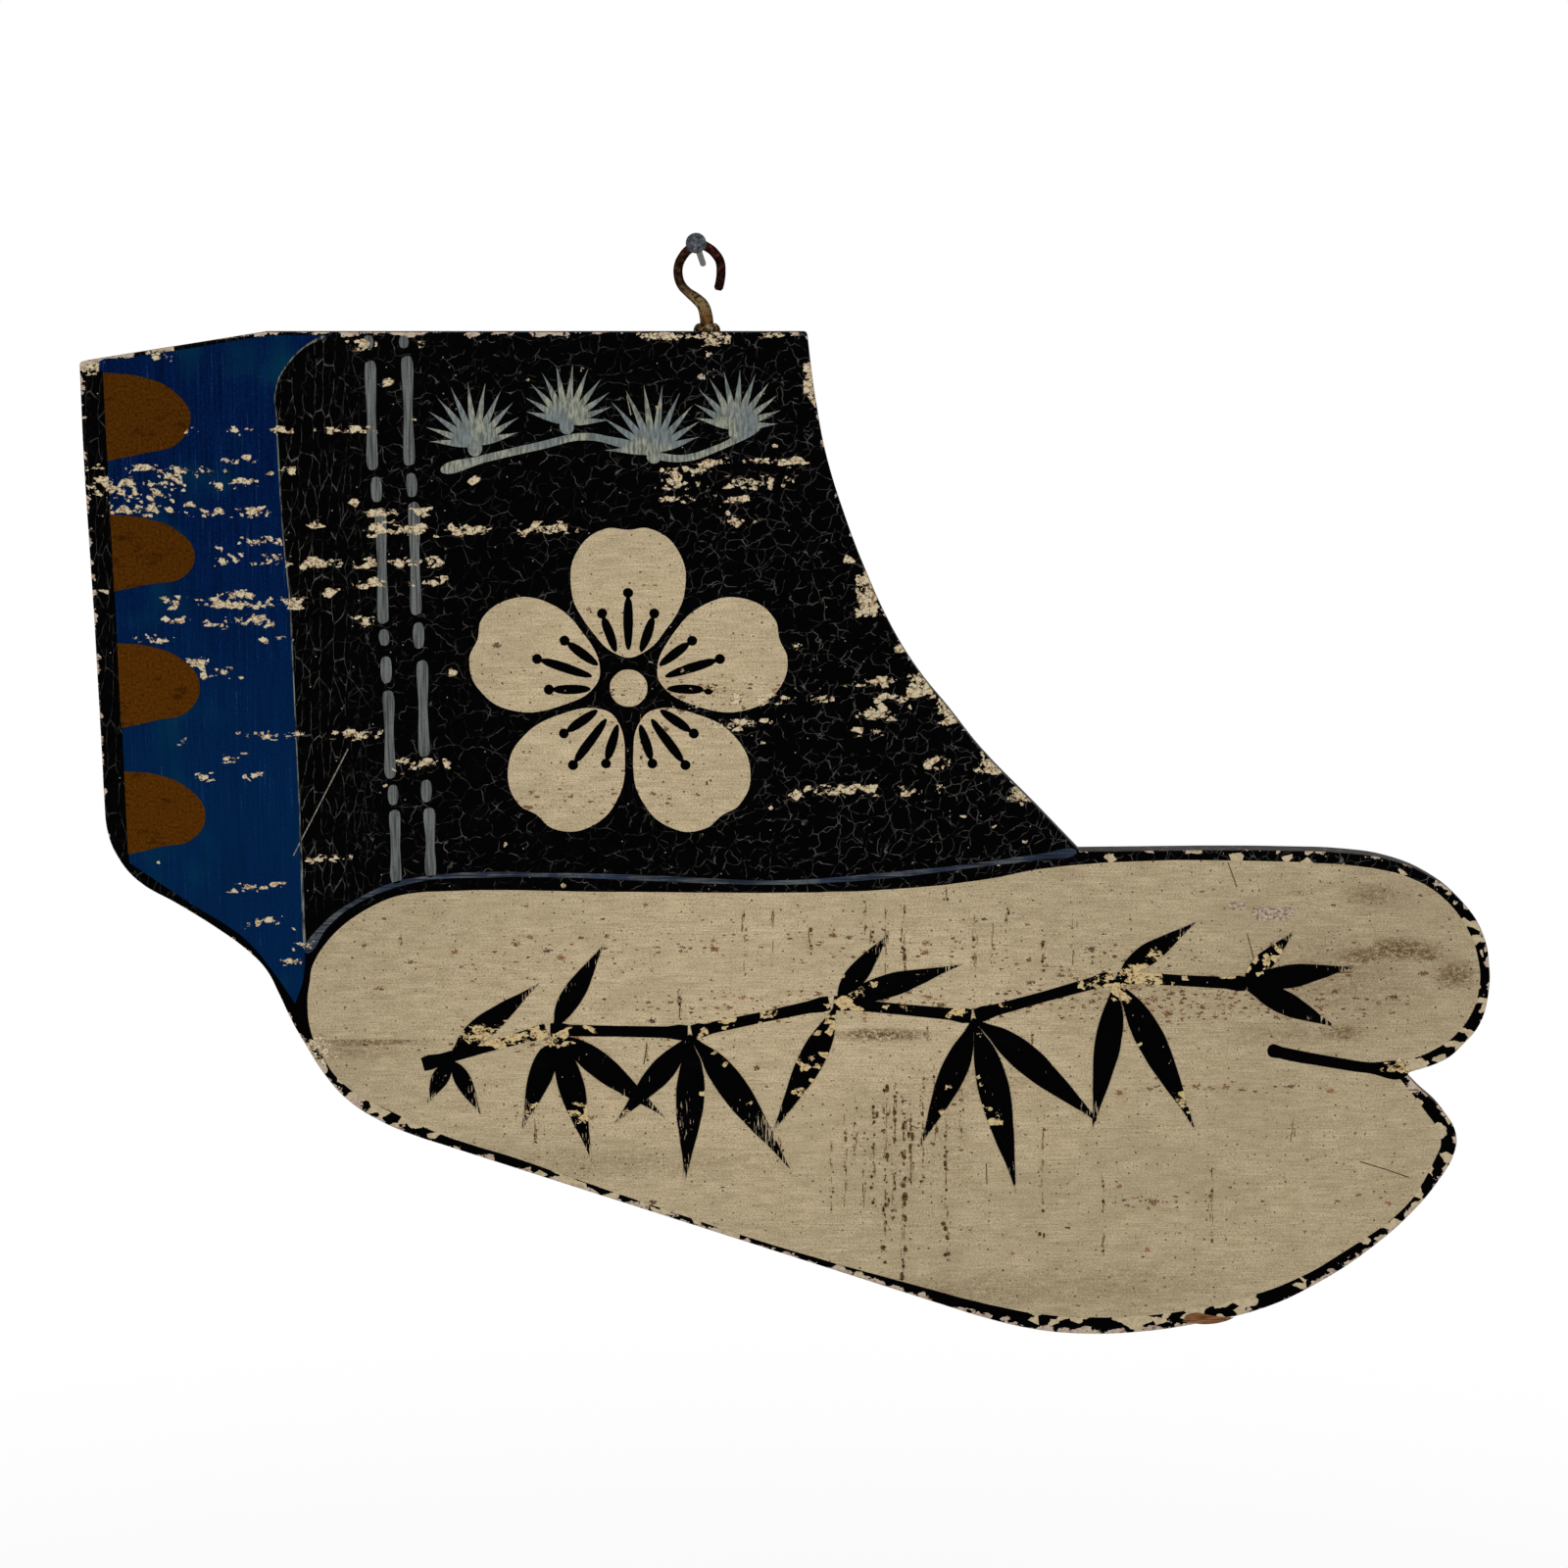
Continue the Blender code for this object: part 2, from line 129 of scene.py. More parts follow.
# Across, from and to for each stitch
STITCHES = {
    "inner_stitches": (
        (-139.5, 1.6, 6.2), (-138.8, 12.0, 56.4), (-137.2, 59.8, 69.8), (-135.4, 72.8, 120.5),
        (-134.9, 123.4, 129.8), (-134.2, 135.0, 145.4), (-133.4, 149.2, 185.8), (-132.2, 189.0, 197.1),
        (-131.5, 199.8, 230.6),
    ),
    "outer_stitches": (
        (-125.0, 1.6, 6.0), (-123.6, 10.0, 54.7), (-122.6, 58.4, 67.7), (-121.6, 70.4, 116.8),
        (-120.6, 120.6, 131.0), (-119.0, 136.4, 176.7), (-118.2, 187.1, 195.8), (-116.9, 198.8, 228.0),
    ),
}
# The middle of the piping
PIPING = (
    (-169.6, 260.2), (-161.6, 248.8), (-148.2, 238.7), (-132.4, 231.6), (-115.4, 228.2), (-95.6, 227.2),
    (-69.2, 227.2), (-29.6, 228.4), (31.9, 230.4), (73.2, 227.6), (114.5, 222.9), (139.2, 219.6),
    (154.6, 217.4),
)
# The line of the split toe, with its width at each place
CLEFT = (
    (237.6, 302.6, 4.2), (243.0, 303.9, 5.0), (260.1, 307.1, 4.8), (279.3, 310.2, 4.6), (296.4, 311.6, 4.2),
)
# The pale line between the blue band and the black
PANEL_RIM = (
    (-157.5, 1.6), (-166.3, 6.4), (-174.6, 15.3), (-178.4, 24.5), (-178.1, 34.0), (-176.6, 77.3),
    (-174.0, 113.7), (-172.9, 147.1), (-171.5, 200.6), (-170.4, 259.3),
)

# Outlines of a leaf and a petal of the ornaments, ahead and beside, as shares of their size
LEAF = (
    (0, 0.03, 1), (0.10, 0.16), (0.26, 0.42), (0.46, 0.50), (0.68, 0.34), (0.86, 0.13), (1, 0, 1),
    (0.84, -0.13), (0.64, -0.34), (0.42, -0.50), (0.22, -0.42), (0.08, -0.16), (0, -0.03, 1),
)
PETAL = (
    (0.20, -0.05), (0.36, -0.23), (0.62, -0.35), (0.86, -0.30), (0.985, -0.13), (0.975, 0.0), (0.985, 0.13),
    (0.86, 0.30), (0.62, 0.35), (0.36, 0.23), (0.20, 0.05),
)
# The middle of the blossom
BLOSSOM = (-33.0, 148.0)
# Each sprig's place, angle and length, and the twig's places and widths
PINE_SPRIGS = ((-96, 47, -96, 27), (-58, 38, -84, 25), (-22, 50, -98, 29), (12, 40, -86, 25))
PINE_TWIG = (
    (-110, 57, 2.2), (-92, 52, 3.0), (-70, 47, 3.2), (-50, 43, 3.0), (-32, 47, 3.0), (-12, 52, 3.0),
    (6, 47, 2.6), (22, 38, 1.8),
)
# The bamboo's branch, and the widths of a joint along its length
BAMBOO_BRANCH = ((-122, 309), (-68, 294), (-8, 295), (52, 282), (112, 288), (172, 271), (228, 274))
BAMBOO_JOINT = ((0.014, 5.8), (0.07, 6.6), (0.16, 5.0), (0.5, 4.6), (0.84, 5.2), (0.93, 6.8), (0.986, 6.0))
# The sag of a bamboo leaf, as a share of its length, and how far from its tip the brush runs dry
SAG = 0.07
DRY_REACH = 17
# The bamboo's leaves: the place of each fan, then angle, length and width of each leaf
BAMBOO_LEAVES = (
    (-110, 306, ((58, 28, 7), (112, 22, 7), (-44, 50, 10))),
    (-66, 295, ((34, 60, 11), (70, 58, 11), (104, 44, 10), (-64, 44, 9))),
    (-8, 296, ((50, 72, 12), (88, 64, 12), (126, 50, 10))),
    (54, 283, ((-58, 38, 9), (-22, 56, 10), (112, 62, 11))),
    (112, 289, ((36, 72, 12), (72, 78, 13), (108, 60, 11))),
    (172, 272, ((-40, 42, 9), (58, 74, 12), (94, 66, 11))),
    (226, 275, ((-14, 48, 10), (20, 44, 10), (-52, 32, 8))),
)

# Rows of lost flakes along the grain: drop, half height, then from and to for each stretch
FLAKE_ROWS = (
    (40.4, 1.0, -214, -210, -198, -188, -178, -174, -160, -141),
    (53.2, 1.1, -198, -188, 4, 8, 18, 27, 32, 38), (55.8, 1.0, -258, -252, -241, -222),
    (57.2, 1.2, -219, -204, -181, -176, -20, -10, -5, 1),
    (62.2, 1.6, -255, -226, -218, -211, -200, -190, -18, -9, 8, 25, 30, 33),
    (67.4, 1.3, -253, -248, -241, -223), (69.0, 1.1, -20, -5, 11, 15), (72.9, 1.5, -249, -220),
    (74.2, 1.3, -213, -181, -140, -112), (78.4, 1.5, -168, -164, 9, 16),
    (81.4, 1.5, -139, -117, -108, -92, -75, -60), (86.5, 1.4, -192, -179),
    (94.3, 1.5, -200, -197, -188, -173), (95.5, 1.5, -165, -153, -146, -136, -130, -112),
    (103.5, 1.4, -145, -132, -120, -114), (108.2, 1.2, -200, -190, -160, -157),
    (112.3, 1.5, -228, -218, -213, -189, -184, -170), (119.9, 1.5, -224, -217, -207, -184, -147, -142),
    (127.3, 0.9, -238, -227, -183, -177), (136.8, 1.8, -215, -209), (142.1, 1.5, -209, -201),
    (145.4, 1.4, 62, 74), (147.9, 1.3, -1, 3), (152.6, 1.6, 8, 15, 22, 30, 43, 51, 73, 82),
    (155.5, 1.4, -13, 3), (158.7, 1.6, 66, 79), (163.2, 1.4, 2, 24), (166.6, 1.2, 60, 66),
    (167.8, 1.3, -189, -173, -157, -141), (177.3, 1.0, -199, -196),
    (180.0, 1.6, -129, -110, 93, 96, 116, 121), (185.6, 1.1, -214, -211, -195, -189),
    (191.1, 1.4, 42, 55, 58, 72, 79, 84, 94, 98, 128, 132), (220.3, 1.0, -163, -157),
    (232.4, 1.1, -199, -182), (247.1, 1.1, -188, -181), (257.2, 0.9, -174, -170), (264.4, 0.9, -182, -177),
)
# Patches at the edges where the ground shows: place, half sizes
BARE_PATCHES = (
    (-225.0, 8.8, 4.5, 2.6), (-143.6, 5.2, 4.5, 2.4), (43.0, 19.5, 2.6, 9.0), (68.0, 108.0, 3.4, 9.0),
    (91.0, 146.0, 4.0, 5.5), (102.0, 157.0, 4.5, 5.0), (-259.0, 14.0, 9.0, 2.4), (119.0, 181.0, 5.0, 3.0),
    (133.0, 193.0, 5.0, 3.0), (-166.0, 303.0, 5.0, 6.0), (296.0, 309.0, 5.0, 3.4), (-16.0, 1.6, 9.0, 1.6),
    (4.0, 2.4, 5.0, 2.6), (26.0, 1.2, 6.0, 1.2),
)
# Soft ovals on the face: place, half sizes, strength
OUTLINE_GAPS = (
    (-135, 318, 60, 30, 0.30), (-40, 366, 96, 34, 0.26), (60, 398, 40, 12, 0.05), (196, 416, 60, 14, 0.46),
    (285, 366, 50, 54, 0.26), (322, 268, 16, 44, 0.22), (236, 221, 110, 8, 0.10), (302, 312, 13, 12, 0.55),
)
RUBBED_EDGES = (
    (-150, 318, 60, 30, 0.8), (-20, 372, 120, 40, 0.7), (190, 416, 80, 20, 1.0), (290, 362, 56, 66, 0.6),
    (322, 268, 20, 46, 0.5), (-252, 15, 30, 10, 1.0), (-150, 0, 110, 5, 0.5), (-256, 110, 8, 110, 0.4),
    (70, 406, 70, 16, 1.0), (120, 414, 50, 10, 1.0), (262, 394, 30, 20, 1.0),
)
PAINT_FLAKES = (
    (60, 283, 110, 8, 0.42), (200, 281, 90, 11, 0.50), (-60, 298, 90, 6, 0.16), (221, 319, 52, 2.6, 0.50),
    (150, 262, 60, 9, 0.16), (40, 258, 120, 7, 0.20), (-96, 300, 14, 3.5, 0.7), (-60, 262, 90, 10, 0.10),
    (15, 152, 60, 9, 0.40), (-40, 196, 60, 6, 0.20), (185, 369, 14, 4, 0.5),
)
BRUSH_FLAKES = (
    (214, 262, 30, 9, 0.60), (176, 272, 26, 8, 0.50), (-84, 296, 34, 6, 0.55), (196, 326, 26, 5, 0.55),
    (-20, 262, 20, 5, 0.45), (60, 300, 70, 40, 0.10), (112, 330, 16, 6, 0.4), (-60, 330, 30, 5, 0.35),
)
GRIME = (
    (276, 262, 11, 4.0, 0.9), (292, 259, 16, 5.4, 1.0), (304, 261.5, 9, 3.4, 0.9), (316, 270, 8, 7, 0.9),
    (262, 272, 46, 20, 0.28), (280, 236, 13, 5.5, 0.55), (269, 295, 9, 4, 0.8), (73.5, 296, 22, 3.0, 1.0),
    (-142, 299, 25, 1.4, 1.0), (-150, 303, 22, 5, 0.35), (177, 277, 50, 24, 0.18), (99, 408, 60, 8, 0.30),
    (-40, 352, 80, 7, 0.22), (115, 318, 30, 10, 0.25), (240, 296, 26, 6, 0.30), (86, 346, 34, 40, 0.16),
    (170, 404, 60, 9, 0.22),
)
# Flakes lost from a brushed stroke: width, height, share with bare wood and painted rim shadow in them, and
# the form of the blocks
BRUSH_BLOCK = (5.4, 4.2, 0.06, "CHEBYCHEV")
# Dots on the cream: size of the cells, share with a dot, radius and strength
SPECKS = ((0.9, 0.20, 0.28, 0.30), (1.9, 0.13, 0.19, 0.60), (4.2, 0.36, 0.12, 0.85))
# Small flakes of the cream: width and height of the cells, push of their edges, least radius and share
FLECKS = ((4.6, 2.0, 1.9, 0.10, 1.0), (6.4, 3.4, 5.0, 0.13, 0.60))
# Soft ovals where the cream is paler or duller
PALE_PLACES = ((32, 290, 170, 86, 0.9), (-33, 148, 90, 90, 0.9))
DULL_PLACES = (
    (290, 262, 74, 52, 0.8), (-140, 280, 60, 60, 0.3), (110, 414, 150, 14, 0.5), (-70, 350, 80, 12, 0.6),
    (300, 350, 20, 40, 0.3), (136, 242, 44, 22, 0.6),
)
# Runs of brown drops: across, from, to, number of drops, size of the largest
STAIN_RUNS = (
    (58, 330, 372, 9, 0.5), (62, 320, 350, 10, 0.6), (66, 338, 372, 8, 0.5), (70, 326, 372, 16, 0.7),
    (75, 318, 396, 26, 0.9), (79, 316, 378, 22, 0.8), (83, 322, 402, 28, 1.1), (86, 330, 360, 14, 0.7),
    (91, 312, 366, 18, 0.7), (96, 308, 352, 14, 0.6), (101, 330, 396, 16, 0.9), (107, 318, 342, 8, 0.5),
    (52, 340, 376, 8, 0.6), (-74, 322, 344, 9, 0.5), (142, 330, 384, 8, 0.7), (168, 356, 398, 9, 0.6),
    (214, 352, 394, 7, 0.6), (-12, 274, 290, 9, 0.5), (120, 246, 268, 8, 0.5), (82, 240, 262, 8, 0.5),
    (154, 244, 270, 8, 0.5), (66, 236, 256, 7, 0.5), (-26, 298, 309, 6, 0.5), (-28, 150, 178, 8, 0.6),
    (-60, 178, 196, 5, 0.5), (0, 184, 198, 5, 0.5), (30, 336, 352, 4, 0.9), (-130, 250, 262, 3, 0.5),
    (248, 330, 352, 5, 0.5), (75, 236, 280, 12, 0.6), (83, 238, 284, 12, 0.6), (69, 248, 259, 4, 0.6),
    (112.5, 242, 276, 10, 0.6), (126, 240, 252, 4, 0.7), (141, 252, 271, 6, 0.6), (92, 292, 300, 3, 0.7),
    (43, 249, 267, 7, 0.6), (15, 240, 273, 7, 0.5), (137, 294, 306, 4, 0.6), (100, 232, 239, 3, 0.6),
    (27, 240, 266, 5, 0.5),
)
# Outlines of the bare wood and the scars, and the lines of the scratches
BARE_WOOD = (
    (202.6, 421.6, 1), (204.0, 418.8, 1), (208.2, 417.6), (213.3, 418.3), (217.9, 419.2), (224.6, 419.6, 1),
    (221.0, 421.2), (213.0, 422.6),
)
SCARS = (
    ((219.0, 240.2), (222.4, 238.8), (226.0, 239.4), (227.2, 241.2), (222.6, 242.4)),
    ((229.4, 242.6), (233.0, 240.6), (238.6, 241.6), (243.8, 240.8), (247.2, 243.4), (244.6, 246.6),
     (238.2, 246.2), (232.6, 247.0)),
)
PALE_SCRATCHES = (((-174.5, 219.0), (-161.0, 193.0), (-150.8, 173.6)), ((-33.0, 26.0), (-31.5, 34.0)))
DARK_SCRATCHES = (
    ((227.2, 252.2), (229.4, 259.7), (231.1, 266.1), (230.5, 274.1)), ((218.8, 221.9), (222.7, 232.4)),
    ((-11.6, 280.0), (-12.4, 288.5)), ((-26.2, 300.6), (-27.5, 308.8)), ((86.0, 352.0), (86.2, 361.0)),
    ((118.0, 352.0), (118.4, 361.0)), ((247.0, 268.4), (262.0, 269.2), (272.0, 268.8)),
    ((277.0, 351.0), (288.0, 354.5), (298.0, 358.0)),
)


class PaintSettings(PropertyGroup):
    """Colours and sizes of the painted face."""

    coat: FloatProperty(
        name="Coat", description="Thickness of a coat", default=0.0001, unit="LENGTH", precision=5
    )
    wobble: FloatProperty(
        name="Hand", description="How far a painted edge wanders", default=0.00022, unit="LENGTH"
    )
    cell_across: FloatProperty(
        name="Cell width", description="Step of the wear map across", default=0.007, unit="LENGTH"
    )
    cell_down: FloatProperty(
        name="Cell height", description="Step of the wear map down", default=0.0012, unit="LENGTH"
    )
    stitch_width: FloatProperty(name="Stitch", description="Width of a stitch", default=0.0041, unit="LENGTH")
    piping_width: FloatProperty(
        name="Piping", description="Width of the line over the foot", default=0.0021, unit="LENGTH"
    )
    blossom_radius: FloatProperty(
        name="Blossom", description="Radius of the blossom", default=0.068, unit="LENGTH"
    )
    black: FloatVectorProperty(
        name="Black", description="Ground of the ankle", subtype="COLOR", default=(0.0006, 0.0005, 0.0008)
    )
    blue: FloatVectorProperty(
        name="Blue", description="Band at the heel", subtype="COLOR", default=(0.0004, 0.0072, 0.0445)
    )
    ochre: FloatVectorProperty(
        name="Ochre", description="Clasps", subtype="COLOR", default=(0.0690, 0.0220, 0.0012)
    )
    cream: FloatVectorProperty(
        name="Cream", description="Foot and blossom", subtype="COLOR", default=(0.4550, 0.3660, 0.2300)
    )
    bare: FloatVectorProperty(
        name="Bare ground", description="First coat, where flakes are lost",
        subtype="COLOR", default=(0.6600, 0.5750, 0.3850)
    )
    grey: FloatVectorProperty(
        name="Grey", description="Stitches", subtype="COLOR", default=(0.1560, 0.1680, 0.1600)
    )
    sprig: FloatVectorProperty(
        name="Grey green", description="Pine sprigs", subtype="COLOR", default=(0.3400, 0.3450, 0.2650)
    )


class MetalSettings(PropertyGroup):
    """Colours of the iron and the wood behind."""

    rust: FloatVectorProperty(
        name="Rust", description="Hook", subtype="COLOR", default=(0.0200, 0.0078, 0.0036)
    )
    bright_rust: FloatVectorProperty(
        name="Bright rust", description="Where the hook meets the wood",
        subtype="COLOR", default=(0.1700, 0.0720, 0.0150)
    )
    steel: FloatVectorProperty(
        name="Steel", description="Head of the wall nail", subtype="COLOR", default=(0.0375, 0.0440, 0.0540)
    )
    wood: FloatVectorProperty(
        name="Old wood", description="Backs and battens", subtype="COLOR", default=(0.2000, 0.1220, 0.0660)
    )


class StageSettings(PropertyGroup):
    """Camera, lamps and floor."""

    distance: FloatProperty(
        name="Distance", description="From the face to the camera", default=1.7, unit="LENGTH"
    )
    height: FloatProperty(
        name="Height", description="Camera's angle over the face", default=math.radians(8.7), unit="ROTATION"
    )
    lens: FloatProperty(name="Lens", description="Focal length in millimetres", default=93.0)
    target_x: FloatProperty(
        name="Aim across", description="Where the camera looks", default=0.0343, unit="LENGTH"
    )
    target_z: FloatProperty(
        name="Aim up", description="Where the camera looks", default=-0.2175, unit="LENGTH"
    )
    floor_gap: FloatProperty(
        name="Floor gap", description="From the sign down to the floor", default=0.42, unit="LENGTH"
    )
    key_power: FloatProperty(
        name="Key lamp", description="Power of the large soft lamp", default=34.0, unit="POWER"
    )
    fill_power: FloatProperty(
        name="Fill lamp", description="Power of the second lamp", default=12.0, unit="POWER"
    )
    sky: FloatProperty(name="Sky", description="Light from all round", default=0.5)


class Nodes:
    """A node tree whose nodes are added and joined one at a time."""

    def __init__(self, tree):
        self.nodes = tree.nodes
        self.links = tree.links

    def join(self, socket, value):
        if isinstance(value, NodeSocket):
            self.links.new(value, socket)
        elif socket.type == "RGBA":
            socket.default_value = (*tuple(value)[:3], 1.0)
        else:
            socket.default_value = value

    def add(self, kind, sockets=None, **settings):
        node = self.nodes.new(kind)
        for key, value in settings.items():
            setattr(node, key, value)
        for key, value in (sockets or {}).items():
            self.join(node.inputs[key], value)
        return node

    def sum(self, operation, *values):
        return self.add("ShaderNodeMath", dict(enumerate(values)), operation=operation).outputs[0]

    def times(self, value, factor):
        return self.sum("MULTIPLY", value, factor)

    def line(self, value, factor, start):
        """The value times the factor, plus the start."""
        return self.sum("MULTIPLY_ADD", value, factor, start)

    def less(self, value, amount):
        return self.sum("SUBTRACT", value, amount)

    def below(self, value, limit):
        return self.sum("LESS_THAN", value, limit)

    def above(self, value, limit):
        return self.sum("GREATER_THAN", value, limit)

    def most(self, *values):
        """The largest of the values."""
        return functools.reduce(lambda a, b: self.sum("MAXIMUM", a, b), values)

    def seen(self):
        """1 for rays that show a thing to the camera, straight or by way of a mirror or glass."""
        rays = self.add("ShaderNodeLightPath").outputs
        return self.most(rays["Is Camera Ray"], rays["Is Glossy Ray"], rays["Is Transmission Ray"])

    def show(self, output, share, under, over):
        """Sends two shaders to the output, one over the other."""
        both = self.add("ShaderNodeMixShader", {0: share, 1: under.outputs[0], 2: over.outputs[0]})
        self.join(self.nodes[output].inputs["Surface"], both.outputs[0])


class Finish(Nodes):
    """A material whose colour is laid on in coats. Sizes are in millimetres."""

    def __init__(self, name, roughness=0.6, metallic=0.0, gloss=0.2):
        self.material = bpy.data.materials.new(name)
        self.material.use_nodes = True
        super().__init__(self.material.node_tree)
        self.shader = self.nodes["Principled BSDF"]
        self.shader.inputs["Roughness"].default_value = roughness
        self.shader.inputs["Metallic"].default_value = metallic
        self.shader.inputs["Specular IOR Level"].default_value = gloss
        self.place = self.add("ShaderNodeTexCoord").outputs["Object"]
        self.base = None

    def mix(self, share, under, over, blend="MIX"):
        sockets = {0: share, 6: under, 7: over}
        return self.add("ShaderNodeMix", sockets, data_type="RGBA", blend_type=blend).outputs[2]

    def ramp(self, value, low, high, share=1.0):
        """0 at low and the share at high, with soft ends."""
        sockets = {"Value": value, "From Min": low, "From Max": high}
        ramp = self.add("ShaderNodeMapRange", sockets, interpolation_type="SMOOTHSTEP").outputs[0]
        return ramp if share == 1.0 else self.times(ramp, share)

    def fade(self, value, low, high, first, second):
        """The first colour where the value is low and the second where it is high."""
        return self.mix(self.ramp(value, low, high), first, second)

    def lay(self, share, colour, blend="MIX"):
        """Lays a colour over the coats so far."""
        self.base = self.mix(share, self.base, colour, blend)

    def tint(self, value, low, high, colour, share=1.0):
        """Lays a colour where the value is high."""
        self.lay(self.ramp(value, low, high, share), colour)

    def axes(self):
        return self.add("ShaderNodeSeparateXYZ", {0: self.place}).outputs

    def spread(self, across, deep, down, place=None, shift=0.0):
        """Coordinates for a pattern whose features are this wide, deep and high. 0 keeps it even."""
        scale = [1 / (size * MM) if size else 0.0 for size in (across, deep, down)]
        start = (shift, shift * 1.7, shift * 0.6)
        sockets = {"Vector": place or self.place, "Scale": scale, "Location": start}
        return self.add("ShaderNodeMapping", sockets).outputs[0]

    def cloud(self, across, deep, down, shift=0.0, detail=3.0, roughness=0.55, distortion=0.0, output="Fac"):
        """Soft noise whose features are this wide, deep and high."""
        place = self.spread(across, deep, down, shift=shift)
        sockets = {"Scale": 1.0, "Detail": detail, "Roughness": roughness, "Distortion": distortion}
        return self.add("ShaderNodeTexNoise", {"Vector": place, **sockets}).outputs[output]

    def cells(self, place, feature="F1", distance="EUCLIDEAN"):
        """Cells drawn on the upright plane of the face."""
        sockets = {"Vector": place, "Rotation": (math.radians(-90), 0.0, 0.0)}
        upright = self.add("ShaderNodeMapping", sockets).outputs[0]
        settings = {"voronoi_dimensions": "2D", "feature": feature, "distance": distance}
        return self.add("ShaderNodeTexVoronoi", {"Vector": upright, "Scale": 1.0}, **settings)

    def draws(self, cells):
        """Three numbers for each cell, drawn at random."""
        return self.add("ShaderNodeSeparateColor", {0: cells.outputs["Color"]}).outputs

    def dots(self, place, smallest, wider, chance):
        """Dots in some of the cells, from the smallest radius to this much wider, and a number for each."""
        cells = self.cells(place)
        draws = self.draws(cells)
        inside = self.below(cells.outputs["Distance"], self.line(draws[1], wider, smallest))
        return self.times(inside, self.below(draws[0], chance)), draws[2]

    def map(self, name):
        """A value that was worked out at each point of the coat."""
        return self.add("ShaderNodeAttribute", attribute_name=name).outputs["Fac"]

    def shaken(self, size, amount, shift=0.0):
        """Coordinates pushed about by a cloud, for ragged or bent edges."""
        push = self.cloud(size, 0, size, shift, detail=2.0, output="Color")
        sockets = {0: push, 1: (amount * MM, 0.0, amount * MM), 2: self.place}
        return self.add("ShaderNodeVectorMath", sockets, operation="MULTIPLY_ADD").outputs[0]

    def flakes(self, wear, across=3.6, down=3.0, wood_and_rim_shadow_share=0.3, distance="EUCLIDEAN"):
        """Where the coat is lost, in torn flakes along the grain, and where the wood shows in them or a
        painted shadow darkens their rims.
        """
        uneven = self.cloud(1.9, 0, 1.3, 9.0, detail=4.0, roughness=0.7)
        wear = self.times(wear, self.line(self.ramp(uneven, 0.35, 0.65), 1.0, 0.5))
        ragged = self.shaken(1.7, 1.3)
        place = self.spread(across, 0, down, ragged)
        large = self.draws(self.cells(place, distance=distance))
        rim = self.cells(place, "DISTANCE_TO_EDGE").outputs["Distance"]
        finer = self.spread(across * 0.45, 0, down * 0.45, ragged, 4.0)
        small = self.draws(self.cells(finer, distance=distance))
        gone = self.most(self.below(large[0], wear), self.below(small[0], self.times(wear, 0.28)))
        wood = self.times(self.below(small[1], wood_and_rim_shadow_share), self.above(self.cloud(1.1, 0, 0.9), 0.54))
        # Painted shadow: a dark band along the rim of each cell, in the wood's colour, stands in for the
        # shade of the torn paint edge
        wood = self.most(wood, self.ramp(rim, 0.09, 0.03, 2 * wood_and_rim_shadow_share))
        return gone, self.times(gone, wood)

    def flake(self, settings, wear, *block, yellow=0.0):
        """Takes flakes out of the coats, down to the browned first coat and the bare wood, with painted
        shadow along their rims, and says where.
        """
        gone, wood = self.flakes(wear, *block)
        tone = self.cloud(2.2, 0, 1.4)
        ground = self.fade(tone, 0.28, 0.50, shade(settings.bare, 0.72), settings.bare)
        ground = self.mix(yellow, ground, (0.620, 0.470, 0.215))
        ground = self.mix(self.ramp(tone, 0.49, 0.60, 0.8), ground, (0.370, 0.225, 0.115))
        ground = self.mix(self.ramp(tone, 0.62, 0.67, 0.8), ground, (0.160, 0.080, 0.040))
        # The wood's colour here is both bare wood and the painted shadow along the flakes' rims
        self.lay(gone, self.mix(wood, ground, (0.130, 0.055, 0.026)))
        return gone

    def done(self, rough, relief, strength=0.6):
        """Joins up the colour, the roughness (value, factor, start) and the relief (height, depth)."""
        if rough:
            self.join(self.shader.inputs["Roughness"], self.line(*rough))
        if relief:
            sockets = {"Height": relief[0], "Distance": relief[1] * MM, "Strength": strength}
            self.join(self.shader.inputs["Normal"], self.add("ShaderNodeBump", sockets).outputs[0])
        self.join(self.shader.inputs["Base Color"], self.base)
        return self.material


def shade(colour, factor):
    return [channel * factor for channel in colour]


def crack_lines(finish, across, down, tilt, bend, width, shift, hidden):
    """A net of fine curved cracks, of which only stretches show. The hidden share is out of one."""
    sockets = {"Vector": finish.shaken(8.0, bend, shift), "Rotation": (0.0, math.radians(tilt), 0.0)}
    turned = finish.add("ShaderNodeMapping", sockets).outputs[0]
    net = finish.cells(finish.spread(across, 0, down, turned, shift), "DISTANCE_TO_EDGE").outputs["Distance"]
    shown = finish.ramp(finish.cloud(8.0, 0, 8.0, shift + 1.0), hidden, hidden + 0.08)
    return finish.times(finish.ramp(net, width, width * 0.4), shown)


